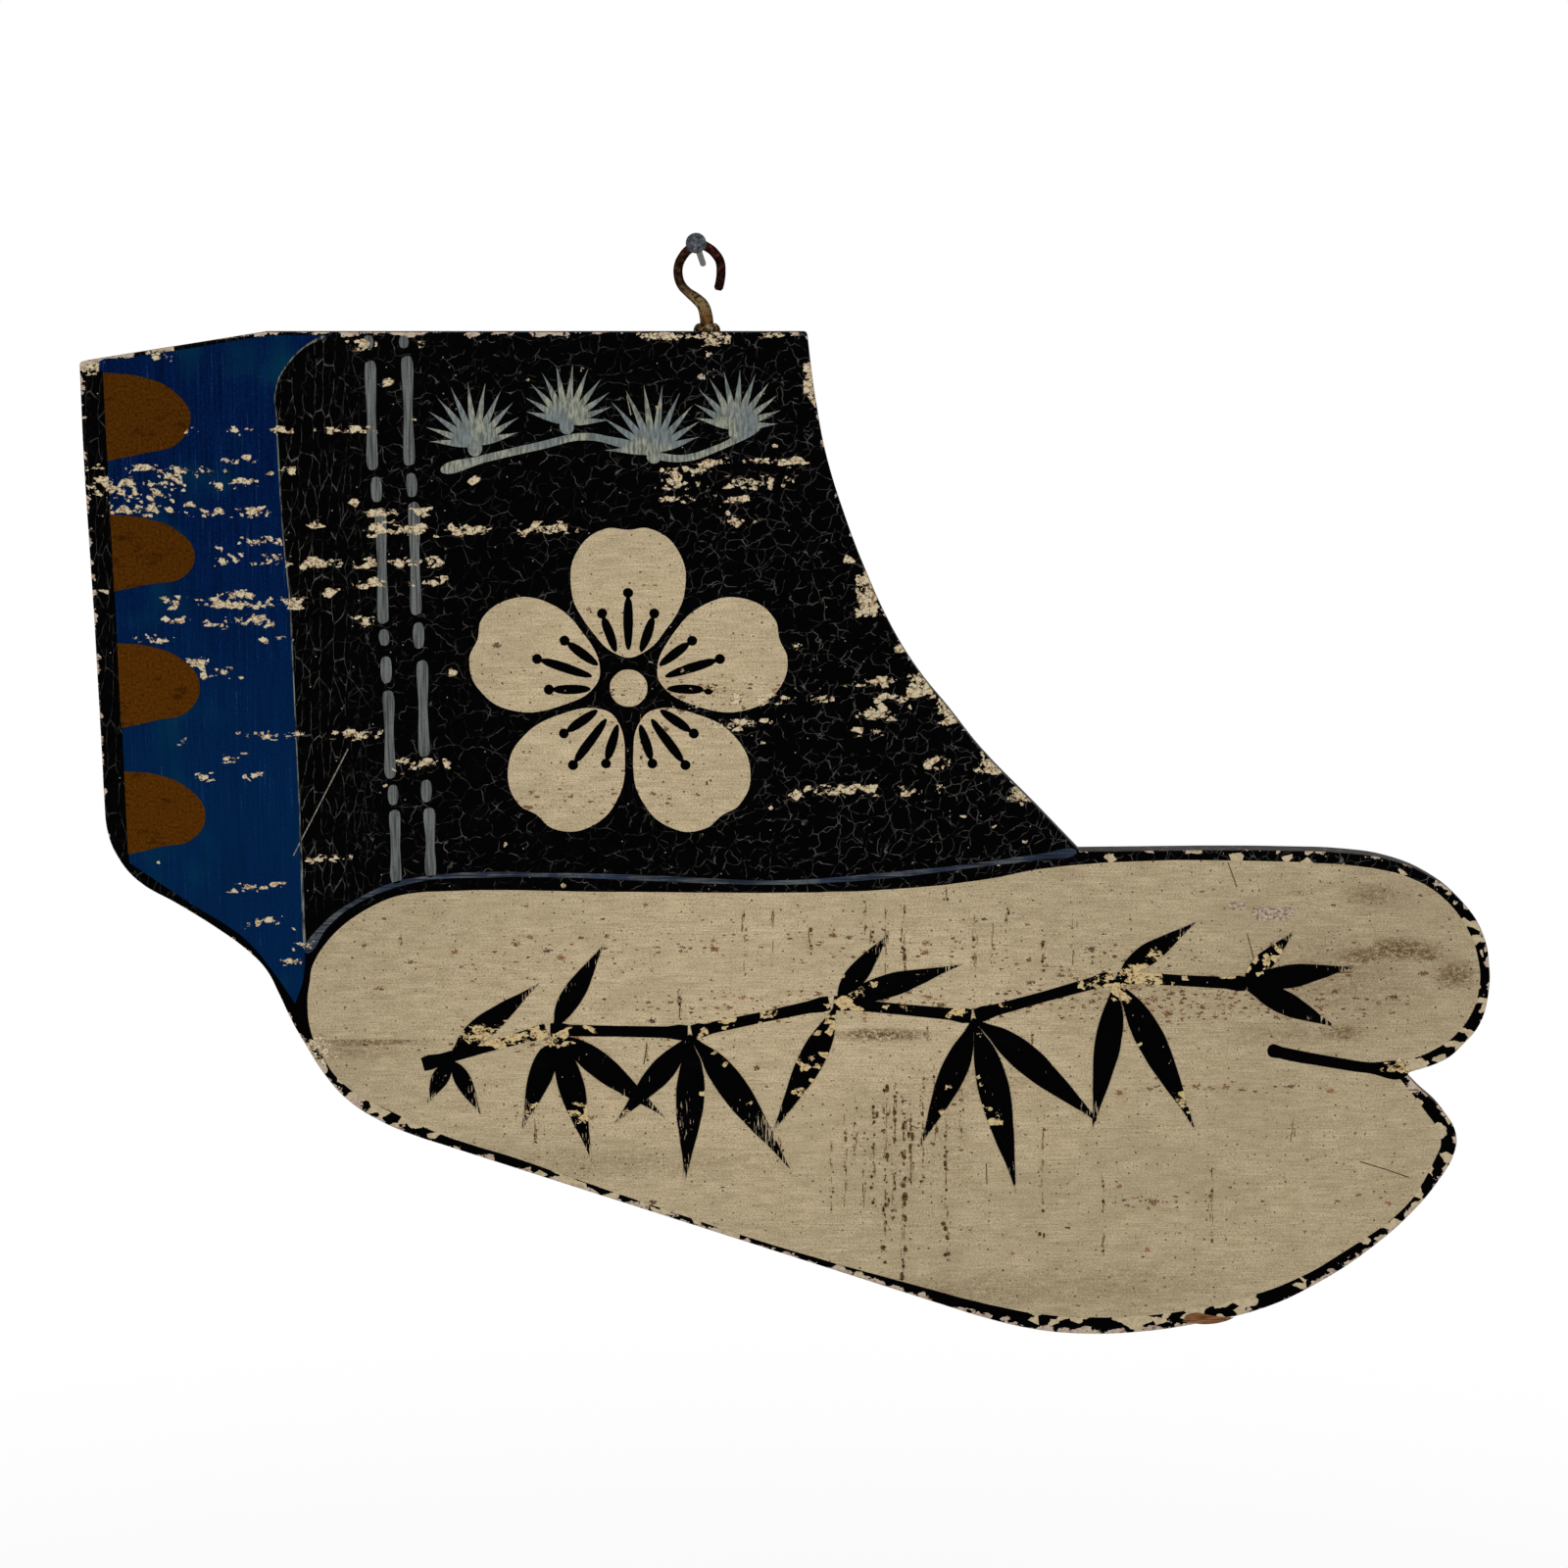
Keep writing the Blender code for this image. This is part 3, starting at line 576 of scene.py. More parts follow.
def crackle(finish):
    """The fine broken net of cracks: level, upright beside the blue band and slanted at the shin."""
    across = finish.axes()[0]
    beside_band = finish.ramp(across, HOOK_X - 136 * MM, HOOK_X - 156 * MM)
    at_shin = finish.ramp(across, HOOK_X - 40 * MM, HOOK_X + 20 * MM)
    level = crack_lines(finish, 10.4, 7.0, 5, 9.0, 0.022, 2.0, 0.45)
    upright = crack_lines(finish, 4.0, 17.0, -3, 3.4, 0.030, 5.0, 0.40)
    slanted = crack_lines(finish, 10.0, 6.2, 56, 9.0, 0.027, 8.0, 0.44)
    level = finish.times(level, finish.less(1.0, beside_band))
    slanted = finish.times(slanted, finish.line(at_shin, 0.8, 0.2))
    cracks = finish.most(level, finish.times(upright, beside_band), slanted)
    faint = finish.ramp(finish.cloud(3.0, 0, 3.0, 4.0, detail=2.0), 0.26, 0.78)
    shown = finish.line(finish.ramp(across, HOOK_X - 215 * MM, HOOK_X - 185 * MM), 0.5, 0.5)
    cracks = finish.times(cracks, finish.times(shown, faint))
    foot = finish.ramp(finish.axes()[2], TOP_Z - 232 * MM, TOP_Z - 246 * MM)
    return finish.times(cracks, finish.less(1.0, foot))


def rubbed_rim(finish, gone):
    """Gaps in the outline and rubbed edges, down to the ground and the wood. Gives back all that is lost."""
    ragged = finish.shaken(1.6, 1.3, 6.0)
    stretches = finish.draws(finish.cells(finish.spread(4.4, 0, 3.4, ragged, 6.0)))
    broken = finish.below(stretches[0], finish.map("gaps"))
    tone = finish.cloud(2.2, 2.0, 1.8, 5.0, detail=4.0)
    finish.lay(broken, finish.fade(tone, 0.35, 0.6, (0.430, 0.350, 0.215), (0.560, 0.455, 0.290)))
    patch = finish.cloud(8.0, 0, 5.5, detail=4.0, roughness=0.62)
    rubbed = finish.below(finish.map("edge"), finish.line(patch, 16.0, finish.map("rub")))
    pale = finish.fade(tone, 0.40, 0.58, (0.400, 0.285, 0.215), (0.540, 0.450, 0.350))
    pale = finish.fade(tone, 0.62, 0.66, pale, (0.150, 0.070, 0.034))
    finish.lay(rubbed, finish.fade(tone, 0.36, 0.32, pale, (0.030, 0.018, 0.014)))
    return finish.most(gone, broken, rubbed)


def black_paint(settings, name, crazed=False, rim=False, dry=False, wear="wear", block=()):
    """Black oil paint, flaked. It may be crazed, its rim may be rubbed, and its strokes may run dry."""
    finish = Finish(name, gloss=0.008)
    haze = [channel * 2.4 + 0.0004 for channel in settings.black]
    finish.base = finish.fade(finish.cloud(14, 0, 9, detail=5.0), 0.5, 0.85, settings.black, haze)
    cracks = 0.0
    if crazed:
        cracks = crackle(finish)
        finish.lay(cracks, (0.105, 0.100, 0.088))
    dust = finish.cells(finish.spread(2.6, 0, 2.6, shift=3.0))
    picked = finish.below(finish.draws(dust)[0], 0.016)
    specks = finish.times(finish.ramp(dust.outputs["Distance"], 0.13, 0.08), picked)
    finish.lay(finish.times(specks, 0.8), (0.340, 0.310, 0.240))
    lost = finish.flake(settings, finish.map(wear), *block, yellow=0.0 if rim else 0.8)
    if rim:
        lost = rubbed_rim(finish, lost)
    if dry:
        hairs = finish.cloud(0.55, 0, 6.5, 7.0, roughness=0.6)
        finish.lay(finish.above(hairs, finish.line(finish.map("dry"), -0.24, 0.72)), settings.cream)
    height = finish.less(1.0, finish.most(lost, finish.times(cracks, 0.5)))
    return finish.done((lost, 0.35, 0.48), (height, 0.12))


def blue_paint(settings, name):
    """Blue laid on with upright strokes, thinner and greener in places."""
    finish = Finish(name, gloss=0.008)
    strokes = finish.cloud(0.75, 0, 34, roughness=0.6)
    grain = finish.cloud(0.8, 0, 0.8, 4.0, detail=4.0, roughness=0.75)
    deep = [c * k for c, k in zip(settings.blue, (0.5, 0.50, 0.55))]
    clear = [c * k + a for c, k, a in zip(settings.blue, (2.0, 1.5, 1.45), (0.0, 0.003, 0.009))]
    laid = finish.sum("ADD", finish.times(strokes, 0.42), finish.times(grain, 0.58))
    finish.base = finish.fade(laid, 0.38, 0.62, deep, clear)
    finish.tint(finish.cloud(30, 0, 42, 8.0, detail=2.0), 0.53, 0.74, (0.001, 0.036, 0.066), 0.6)
    finish.tint(finish.cloud(5, 0, 60, 1.0, detail=2.0), 0.58, 0.70, deep, 0.45)
    hairs = finish.times(finish.ramp(strokes, 0.62, 0.70), finish.ramp(grain, 0.46, 0.56))
    finish.lay(finish.times(hairs, 0.55), (0.045, 0.110, 0.160))
    finish.tint(finish.axes()[2], TOP_Z - 60 * MM, TOP_Z - 210 * MM, (0.0006, 0.0240, 0.0800), 0.4)
    gone = finish.flake(settings, finish.times(finish.map("wear"), 0.74), 2.9, 2.6, 0.32, "CHEBYCHEV")
    return finish.done((gone, 0.35, 0.5), (finish.less(finish.times(strokes, 0.5), gone), 0.09))


def ochre_paint(settings, name):
    """Flat ochre with fine dark speckle and a few dark scuffs."""
    finish = Finish(name, gloss=0.008)
    speckle = finish.cloud(1.1, 0, 1.1, detail=5.0, roughness=0.75)
    scuffs = finish.cloud(14, 0, 7, 3.0, detail=6.0, roughness=0.7)
    finish.base = finish.fade(speckle, 0.34, 0.52, shade(settings.ochre, 0.36), settings.ochre)
    finish.tint(speckle, 0.53, 0.66, shade(settings.ochre, 1.9), 0.8)
    finish.tint(scuffs, 0.56, 0.66, shade(settings.ochre, 0.3), 0.75)
    lower = finish.ramp(finish.axes()[2], TOP_Z - 80 * MM, TOP_Z - 150 * MM)
    finish.lay(lower, (1.17, 1.15, 1.10), "MULTIPLY")
    gone = finish.flake(settings, finish.less(finish.map("wear"), 0.05))
    return finish.done((gone, 0.25, 0.6), (finish.less(finish.times(speckle, 0.5), gone), 0.09))


def cream_paint(settings, name):
    """Old cream with brushed grain, blotches, grime, dark specks and small red-brown flakes."""
    finish = Finish(name, gloss=0.10)
    grain = finish.cloud(16, 0, 0.6, roughness=0.6)
    mottle = finish.cloud(0.7, 0, 0.6, detail=4.0, roughness=0.75)
    mixed = finish.sum("ADD", finish.times(grain, 0.28), finish.times(mottle, 0.72))
    high = [min(1.0, channel * 1.44) for channel in settings.cream]
    finish.base = finish.fade(mixed, 0.34, 0.66, shade(settings.cream, 0.58), high)
    finish.tint(grain, 0.30, 0.24, shade(settings.cream, 0.45), 0.5)
    finish.tint(finish.cloud(55, 0, 30, 2.0, detail=4.0), 0.50, 0.68, (0.370, 0.300, 0.185), 0.40)
    finish.lay(1.0, finish.map("tone"), "MULTIPLY")
    blotch = finish.cloud(9.0, 0, 3.6, 9.0, detail=5.0, roughness=0.7)
    finish.lay(1.0, finish.fade(blotch, 0.34, 0.66, (0.91, 0.90, 0.87), (1.08, 1.08, 1.09)), "MULTIPLY")
    smear = finish.cloud(2.4, 0, 1.5, detail=7.0, roughness=0.9)
    grime = finish.times(finish.map("grime"), finish.ramp(smear, 0.43, 0.53))
    finish.lay(finish.times(grime, 0.92), (0.118, 0.063, 0.018))
    for size, share, radius, strength in SPECKS:
        chance = finish.line(finish.map("grime"), 0.4, share)
        specks, _ = finish.dots(finish.spread(size, 0, size, shift=size), radius * 0.3, radius * 0.7, chance)
        finish.lay(finish.times(specks, strength), (0.080, 0.052, 0.030))
    bunched = finish.line(finish.ramp(finish.cloud(14.0, 0, 5.0, 3.0), 0.42, 0.60), 1.5, 0.5)
    flaking = finish.times(finish.map("flaking"), bunched)
    lost = 0.0
    for across, down, push, least, share in FLECKS:
        place = finish.spread(across, 0, down, finish.shaken(0.8, push, across))
        flecks, tone = finish.dots(place, least, 0.16, finish.times(flaking, share))
        finish.lay(finish.times(flecks, 0.9), finish.mix(tone, (0.045, 0.015, 0.006), (0.240, 0.092, 0.038)))
        lost = finish.most(lost, flecks)
    gone = finish.flake(settings, finish.less(finish.map("wear"), 0.03))
    height = finish.less(finish.times(grain, 0.4), finish.most(lost, gone))
    return finish.done((mottle, 0.2, 0.52), (height, 0.07))


def scarred_paint(name):
    """A knocked place where the cream has turned pinkish and rough."""
    finish = Finish(name, gloss=0.08)
    lumps = finish.cloud(1.7, 0, 1.2, detail=6.0, roughness=0.8)
    finish.base = finish.fade(lumps, 0.41, 0.57, (0.150, 0.098, 0.062), (0.540, 0.440, 0.330))
    return finish.done(None, (lumps, 0.15), 0.7)


def bared_wood(name):
    """Raw red-brown wood where the edge was knocked."""
    finish = Finish(name, gloss=0.08)
    fibre = finish.cloud(9.0, 0, 0.8, detail=4.0, roughness=0.7)
    finish.base = finish.fade(fibre, 0.36, 0.62, (0.080, 0.030, 0.011), (0.255, 0.115, 0.045))
    return finish.done(None, (fibre, 0.2), 0.8)


def thin_paint(settings, name, colour, streak, along=(0.84, 22.0), second=None):
    """A line colour dragged out thin, so that the black shows through along the stroke."""
    finish = Finish(name, gloss=0.015)
    if second:
        colour = finish.fade(finish.cloud(15, 0, 15), 0.42, 0.58, second, colour)
    drag = finish.cloud(along[0], 0, along[1], roughness=0.6)
    finish.base = finish.fade(drag, 0.36, 0.62, streak, colour)
    finish.tint(finish.cloud(1.3, 0, 1.3), 0.44, 0.32, streak, 0.6)
    gone = finish.flake(settings, finish.map("wear"))
    return finish.done((gone, 0.25, 0.55), (finish.less(finish.times(drag, 0.5), gone), 0.08))


def stain(name, deep, thin):
    """A dried drop or a scratch, darker here and thinner there."""
    finish = Finish(name, roughness=0.7, gloss=0.05)
    finish.base = finish.fade(finish.cloud(0.9, 0, 1.4), 0.40, 0.60, deep, thin)
    return finish.done(None, None)


def old_wood(settings, name, turn, tone, shift, painted=False):
    """Old softwood with its grain along X, or along Z where turn is -1. Its edges may be painted dark."""
    finish = Finish(name, gloss=0.15)
    rings = finish.cloud(*(150, 3.0, 4.6)[::turn], shift, detail=4.0, distortion=0.4)
    fibre = finish.cloud(*(30, 0.6, 0.6)[::turn], 3.0, roughness=0.7)
    wood = shade(settings.wood, tone)
    finish.base = finish.fade(rings, 0.38, 0.62, shade(wood, 0.55), shade(wood, 1.15))
    finish.tint(fibre, 0.48, 0.34, shade(wood, 0.4), 0.55)
    finish.tint(finish.cloud(45, 45, 45, 6.0, detail=4.0), 0.52, 0.70, (0.085, 0.070, 0.055), 0.55)
    if painted:
        line = finish.line(finish.cloud(9, 5, 9, 1.0, detail=4.0), 4.5 * MM, BACK_Y - 3.4 * MM)
        worn = finish.cloud(4.5, 2.2, 4.5, 4.0, detail=5.0, roughness=0.65)
        dark = finish.fade(worn, 0.42, 0.60, (0.018, 0.016, 0.014), (0.046, 0.041, 0.034))
        dark = finish.fade(worn, 0.635, 0.655, dark, (0.300, 0.225, 0.165))
        finish.lay(finish.below(finish.axes()[1], line), dark)
    height = finish.sum("ADD", rings, finish.times(fibre, 0.7))
    return finish.done((fibre, 0.2, 0.68), (height, 0.18))


def rusted_iron(settings, name):
    """Dark red-brown iron, olive lower down and orange where it enters the wood. Painted shade darkens the
    wire towards its sides and back.
    """
    finish = Finish(name, gloss=0.01)
    patch = finish.cloud(1.9, 1.9, 1.9, detail=6.0, roughness=0.7)
    grain = finish.cloud(1.2, 1.2, 1.2, 2.0, detail=5.0, roughness=0.7)
    across, depth, height = finish.axes()
    finish.base = finish.fade(patch, 0.40, 0.58, shade(settings.rust, 0.25), shade(settings.rust, 2.0))
    finish.tint(patch, 0.57, 0.68, (0.160, 0.070, 0.030))
    finish.lay(finish.ramp(across, HOOK_X - 3 * MM, HOOK_X + 1 * MM), (0.95, 0.60, 1.05), "MULTIPLY")
    stem = finish.ramp(across, HOOK_X + 3.2 * MM, HOOK_X + 2.4 * MM)
    low = finish.times(stem, finish.ramp(height, TOP_Z + 21 * MM, TOP_Z + 12 * MM))
    olive = finish.fade(grain, 0.40, 0.54, (0.022, 0.012, 0.004), (0.245, 0.172, 0.078))
    finish.lay(finish.times(low, 0.95), olive)
    foot = finish.fade(patch, 0.40, 0.56, (0.016, 0.006, 0.002), settings.bright_rust)
    finish.tint(height, TOP_Z + 11 * MM, TOP_Z + 5 * MM, foot, 0.85)
    # Painted shade: behind the front of the wire its colour goes nearly black, standing in for the shade on
    # its sides and back
    middle = (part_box("screw_hook")[0].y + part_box("screw_hook")[1].y) / 2
    finish.tint(depth, middle - 1.8 * MM, middle - 0.6 * MM, (0.004, 0.002, 0.001), 0.8)
    lumps = finish.sum("ADD", patch, finish.times(grain, 0.4))
    return finish.done((grain, 0.3, 0.42), (lumps, 0.7), 0.9)


def collar_iron(name):
    """Lumpy brown iron with pale crusts."""
    finish = Finish(name, gloss=0.01)
    patch = finish.cloud(2.1, 2.1, 2.1, detail=6.0, roughness=0.7)
    finish.base = finish.fade(patch, 0.43, 0.51, (0.006, 0.003, 0.001), (0.075, 0.042, 0.015))
    finish.tint(patch, 0.53, 0.60, (0.290, 0.215, 0.125))
    return finish.done((patch, 0.3, 0.5), (patch, 0.9), 0.9)


def forged_iron(name):
    """Dark iron, browned in places, of the nails that hold the battens."""
    finish = Finish(name, metallic=0.5, gloss=0.3)
    patch = finish.cloud(1.6, 1.6, 1.6, detail=5.0, roughness=0.65)
    finish.base = finish.fade(patch, 0.40, 0.60, (0.016, 0.012, 0.010), (0.070, 0.034, 0.018))
    return finish.done((patch, 0.35, 0.5), (patch, 0.35))


def nail_steel(settings, name):
    """Grey steel, mottled blue-grey on the head and paler along the shank."""
    finish = Finish(name, metallic=0.3, gloss=0.25)
    patch = finish.cloud(1.4, 1.4, 1.4, detail=5.0, roughness=0.65)
    finish.base = finish.fade(patch, 0.40, 0.56, shade(settings.steel, 0.22), shade(settings.steel, 1.6))
    finish.tint(patch, 0.58, 0.68, (0.200, 0.205, 0.210))
    grain = finish.cloud(0.5, 0.5, 0.5, 2.0)
    shank = finish.fade(grain, 0.38, 0.58, (0.020, 0.020, 0.017), (0.125, 0.125, 0.108))
    head_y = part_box("wall_nail")[0].y
    finish.tint(finish.axes()[1], head_y + 3.0 * MM, head_y + 5.0 * MM, shank)
    return finish.done((patch, 0.3, 0.4), (patch, 0.25))


def turned(x, drop, angle, ahead, beside=0.0):
    """The place this far ahead of another and beside it, where the way ahead is at an angle from level."""
    turn = math.radians(angle)
    across = x + ahead * math.cos(turn) - beside * math.sin(turn)
    return across, drop + ahead * math.sin(turn) + beside * math.cos(turn)


def band(x, low, high, soft):
    """1 between low and high, and down to 0 over the soft distance past them."""
    return max(0.0, min(1.0, (x - low) / soft + 1, (high - x) / soft + 1))


def oval(x, drop, middle, middle_drop, half, half_drop):
    """0 in the middle of an oval and 1 on its rim."""
    return ((x - middle) / half) ** 2 + ((drop - middle_drop) / half_drop) ** 2


def strength(places, x, drop):
    """The strength of the strongest soft oval at a place on the face."""
    return min(1.0, max(most * max(0.0, 1.25 - oval(x, drop, *place)) for *place, most in places))


def wear_at(x, drop):
    """The share of its flakes that the paint has lost at a place on the face."""
    wear = LEAST_WEAR
    for row, half, *stretches in FLAKE_ROWS:
        near = band(drop, row - half * 0.45, row + half * 0.45, half * 1.5)
        if near:
            for start, end in zip(stretches[::2], stretches[1::2]):
                wear = max(wear, ROW_WEAR * near * band(x, start, end, 3.0))
    for patch in BARE_PATCHES:
        wear = max(wear, PATCH_WEAR * max(0.0, min(1.0, 1.6 - oval(x, drop, *patch))))
    return wear


def dryness(x, drop):
    """1 at the tip of a bamboo leaf, where the brush ran dry, and less away from it."""
    tips = [turned(*root, angle, size, SAG * size) for *root, fan in BAMBOO_LEAVES for angle, size, _ in fan]
    return max(0.0, 1.0 - min(math.hypot(x - tip[0], drop - tip[1]) for tip in tips) / DRY_REACH)


MAPS = {
    "wear": wear_at,
    "dry": dryness,
    "gaps": lambda *place: strength(OUTLINE_GAPS, *place),
    "rub": lambda *place: 2.2 * strength(RUBBED_EDGES, *place) - 8.9,
    "flaking": lambda *place: 0.010 + strength(PAINT_FLAKES, *place),
    "grime": lambda *place: 0.07 + strength(GRIME, *place),
    "tone": lambda *place: 1.0 + 0.15 * strength(PALE_PLACES, *place) - 0.11 * strength(DULL_PLACES, *place),
    "brush_wear": lambda *place: 0.004 + strength(BRUSH_FLAKES, *place),
}


def rim_tree(shape):
    """Points along the open rim of a coat, for measuring how far in a place lies."""
    places = []
    for edge in shape.edges:
        if edge.is_boundary:
            a, b = edge.verts[0].co, edge.verts[1].co
            steps = max(1, int((b - a).length / (0.6 * MM)))
            places += [a.lerp(b, i / steps) for i in range(steps)]
    tree = kdtree.KDTree(len(places))
    for i, place in enumerate(places):
        tree.insert((place.x, 0.0, place.z), i)
    tree.balance()
    return tree


def cut_cells(shape, across, down):
    """Cuts a coat into small cells on one lattice, so that its wear can change from place to place."""
    for axis, step in ((2, down), (0, across)):
        values = [vertex.co[axis] for vertex in shape.verts]
        for i in range(math.ceil(min(values) / step), math.floor(max(values) / step) + 1):
            place = Vector((0, 0, 0))
            normal = Vector((0, 0, 0))
            place[axis] = i * step
            normal[axis] = 1
            geometry = shape.verts[:] + shape.edges[:] + shape.faces[:]
            bmesh.ops.bisect_plane(shape, geom=geometry, dist=WELD, plane_co=place, plane_no=normal)


def store_maps(mesh, names, tree=None):
    """Keeps a value of each named map, and with a tree the distance to the rim, with each point of a coat."""
    names = [*names, "edge"] if tree else names
    for name in names:
        mesh.attributes.new(name, "FLOAT", "POINT")
    for name in names:
        for vertex, value in zip(mesh.vertices, mesh.attributes[name].data):
            if name == "edge":
                value.value = tree.find((vertex.co.x, 0.0, vertex.co.z))[2] / MM
            else:
                value.value = MAPS[name]((vertex.co.x - HOOK_X) / MM, (TOP_Z - vertex.co.z) / MM)


def add_object(name, data):
    thing = bpy.data.objects.new(name, data)
    bpy.context.scene.collection.objects.link(thing)
    return thing


def dress(mesh, material):
    mesh.materials.clear()
    mesh.materials.append(material)


def finish_piece(name, shape, material, maps=("wear",), tree=None):
    """Turns the working shape into a piece that moves with the sign."""
    mesh = bpy.data.meshes.new(name)
    shape.to_mesh(mesh)
    shape.free()
    if "custom_normal" in mesh.attributes:
        mesh.attributes.remove(mesh.attributes["custom_normal"])
    dress(mesh, material)
    mesh.shade_smooth()
    mesh.set_sharp_from_angle(angle=math.radians(30))
    piece = add_object(name, mesh)
    store_maps(mesh, maps, tree)
    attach(piece, "sign")


def sort_layers(outlines):
    """Shares outlines out among layers, so that those in one layer lie clear of each other."""
    layers = []
    for outline in outlines:
        across, down = [knot[0] for knot in outline], [knot[1] for knot in outline]
        box = (min(across) - 1, max(across) + 1, min(down) - 1, max(down) + 1)
        for layer in layers:
            if all(box[0] > b[1] or box[1] < b[0] or box[2] > b[3] or box[3] < b[2] for b, _ in layer):
                layer.append((box, outline))
                break
        else:
            layers.append([(box, outline)])
    return [[outline for _, outline in layer] for layer in layers]


def draw_layer(shape, outlines, thickness, lift):
    """Adds the closed outlines to the working shape as flat slabs on the face."""
    curve = bpy.data.curves.new("outline", "CURVE")
    curve.dimensions = "2D"
    curve.fill_mode = "BOTH"
    curve.extrude = thickness / 2
    curve.resolution_u = 6
    for outline in outlines:
        spline = curve.splines.new("BEZIER")
        spline.bezier_points.add(len(outline) - 1)
        spline.use_cyclic_u = True
        for knot, (x, drop, *corner) in zip(spline.bezier_points, outline):
            knot.co = (x * MM, -drop * MM, 0)
            knot.handle_left_type = "VECTOR" if corner else "AUTO"
            knot.handle_right_type = knot.handle_left_type
    flat = add_object("outline", curve)
    bpy.context.view_layer.update()
    drawn = bpy.data.meshes.new_from_object(flat.evaluated_get(bpy.context.evaluated_depsgraph_get()))
    bpy.data.objects.remove(flat, do_unlink=True)
    upright = Matrix.Rotation(math.radians(90), 4, "X")
    drawn.transform(Matrix.Translation((HOOK_X, FACE_Y - lift - thickness / 2, TOP_Z)) @ upright)
    shape.from_mesh(drawn)
    bpy.data.meshes.remove(drawn)


def clean(shape, gap):
    """Welds points closer than the gap and takes out edges between level faces."""
    bmesh.ops.remove_doubles(shape, verts=shape.verts, dist=gap)
    bmesh.ops.dissolve_limit(shape, angle_limit=math.radians(0.3), verts=shape.verts, edges=shape.edges)


def coat(settings, name, outlines, lift, material, slot=None, maps=("wear",)):
    """A coat of paint inside one or more closed outlines on the face."""
    shape = bmesh.new()
    for i, layer in enumerate(sort_layers(outlines)):
        draw_layer(shape, layer, settings.coat, lift + i * LAYER_STEP)
    clean(shape, WELD)
    noise.seed_set(HAND_SEED)
    for vertex in shape.verts:
        push = noise.noise_vector(Vector((vertex.co.x, 0.0, vertex.co.z)) * HAND_TURNS)
        vertex.co.x += push.x * settings.wobble
        vertex.co.z += push.z * settings.wobble
    if maps:
        cut_cells(shape, settings.cell_across, settings.cell_down)
    bmesh.ops.recalc_face_normals(shape, faces=shape.faces)
    finish_piece(name, shape, material, maps)


def stroke(points, *corner):
    """The outline of a brush stroke through places with a width. A last value keeps its sides straight."""
    left, right = [], []
    for i, (x, drop, width) in enumerate(points):
        ahead, behind = points[min(i + 1, len(points) - 1)], points[max(i - 1, 0)]
        along = Vector((ahead[0] - behind[0], ahead[1] - behind[1])).normalized()
        left.append((x - along.y * width / 2, drop + along.x * width / 2))
        right.append((x + along.y * width / 2, drop - along.x * width / 2))
    return [(*knot, *corner) for knot in left + right[::-1]]


def leaf(x, drop, angle, length, width, sag=0.0):
    """A pointed leaf from its stalk: its angle is from level, with positive angles turning down."""
    outline = []
    for along, side, *corner in LEAF:
        beside = side * width + sag * length * along * along
        outline.append((*turned(x, drop, angle, along * length, beside), *corner))
    return outline


def petal(x, drop, angle, radius):
    """A round petal that grows out from the middle of a blossom."""
    return [turned(x, drop, angle, ahead * radius, side * radius) for ahead, side in PETAL]


def disc(x, drop, radius):
    """A round spot."""
    turns = [math.tau * i / 8 for i in range(8)]
    return [(x + radius * math.cos(turn), drop + radius * math.sin(turn)) for turn in turns]


class SIGN_OT_black_ground(Operator):
    """Lay the black ground over the boards' face and rounded edges"""

    bl_idname = "sign.black_ground"
    bl_label = "Black ground"

    def execute(self, context):
        settings = context.scene.sign_paint
        shape = bmesh.new()
        for node in PLANKS:
            shape.from_mesh(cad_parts[node].data)
        shape.normal_update()
        hidden = [face for face in shape.faces if face.normal.y > -0.2]
        bmesh.ops.delete(shape, geom=hidden, context="FACES")
        clean(shape, 0.5 * MM)
        tree = rim_tree(shape)
        cut_cells(shape, settings.cell_across, settings.cell_down)
        shape.normal_update()
        bmesh.ops.solidify(shape, geom=shape.faces[:], thickness=-settings.coat)
        bmesh.ops.recalc_face_normals(shape, faces=shape.faces)
        black = black_paint(settings, "crazed_black_paint", crazed=True, rim=True)
        finish_piece("black_ground", shape, black, ("wear", "gaps", "rub"), tree)
        return {"FINISHED"}


class SIGN_OT_cream_foot(Operator):
    """Paint the cream foot inside its black outline"""

    bl_idname = "sign.cream_foot"
    bl_label = "Cream foot"

    def execute(self, context):
        settings = context.scene.sign_paint
        cream = cream_paint(settings, "aged_cream_paint")
        coat(settings, "cream_foot", [FOOT], COLOUR_LIFT, cream, "cream_board", CREAM_MAPS)
        coat(settings, "cream_scar", SCARS, DETAIL_LIFT, scarred_paint("pinkish_scar"), "cream_board", ())
        wood = bared_wood("bare_edge_wood")
        coat(settings, "bare_wood_patch", [BARE_WOOD], DETAIL_LIFT, wood, "cream_board", ())
        return {"FINISHED"}


class SIGN_OT_blue_band(Operator):
    """Paint the blue band at the heel"""

    bl_idname = "sign.blue_band"
    bl_label = "Blue band"

    def execute(self, context):
        settings = context.scene.sign_paint
        coat(settings, "blue_band", [BLUE_BAND], COLOUR_LIFT, blue_paint(settings, "streaked_blue_paint"))
        rim = stroke([(x, drop, 0.55) for x, drop in PANEL_RIM])
        colours = ((0.190, 0.205, 0.170), (0.0012, 0.0020, 0.0060))
        pale = thin_paint(settings, "pale_rim_paint", *colours, (0.7, 9.0))
        coat(settings, "panel_rim", [rim], DETAIL_LIFT, pale)
        return {"FINISHED"}


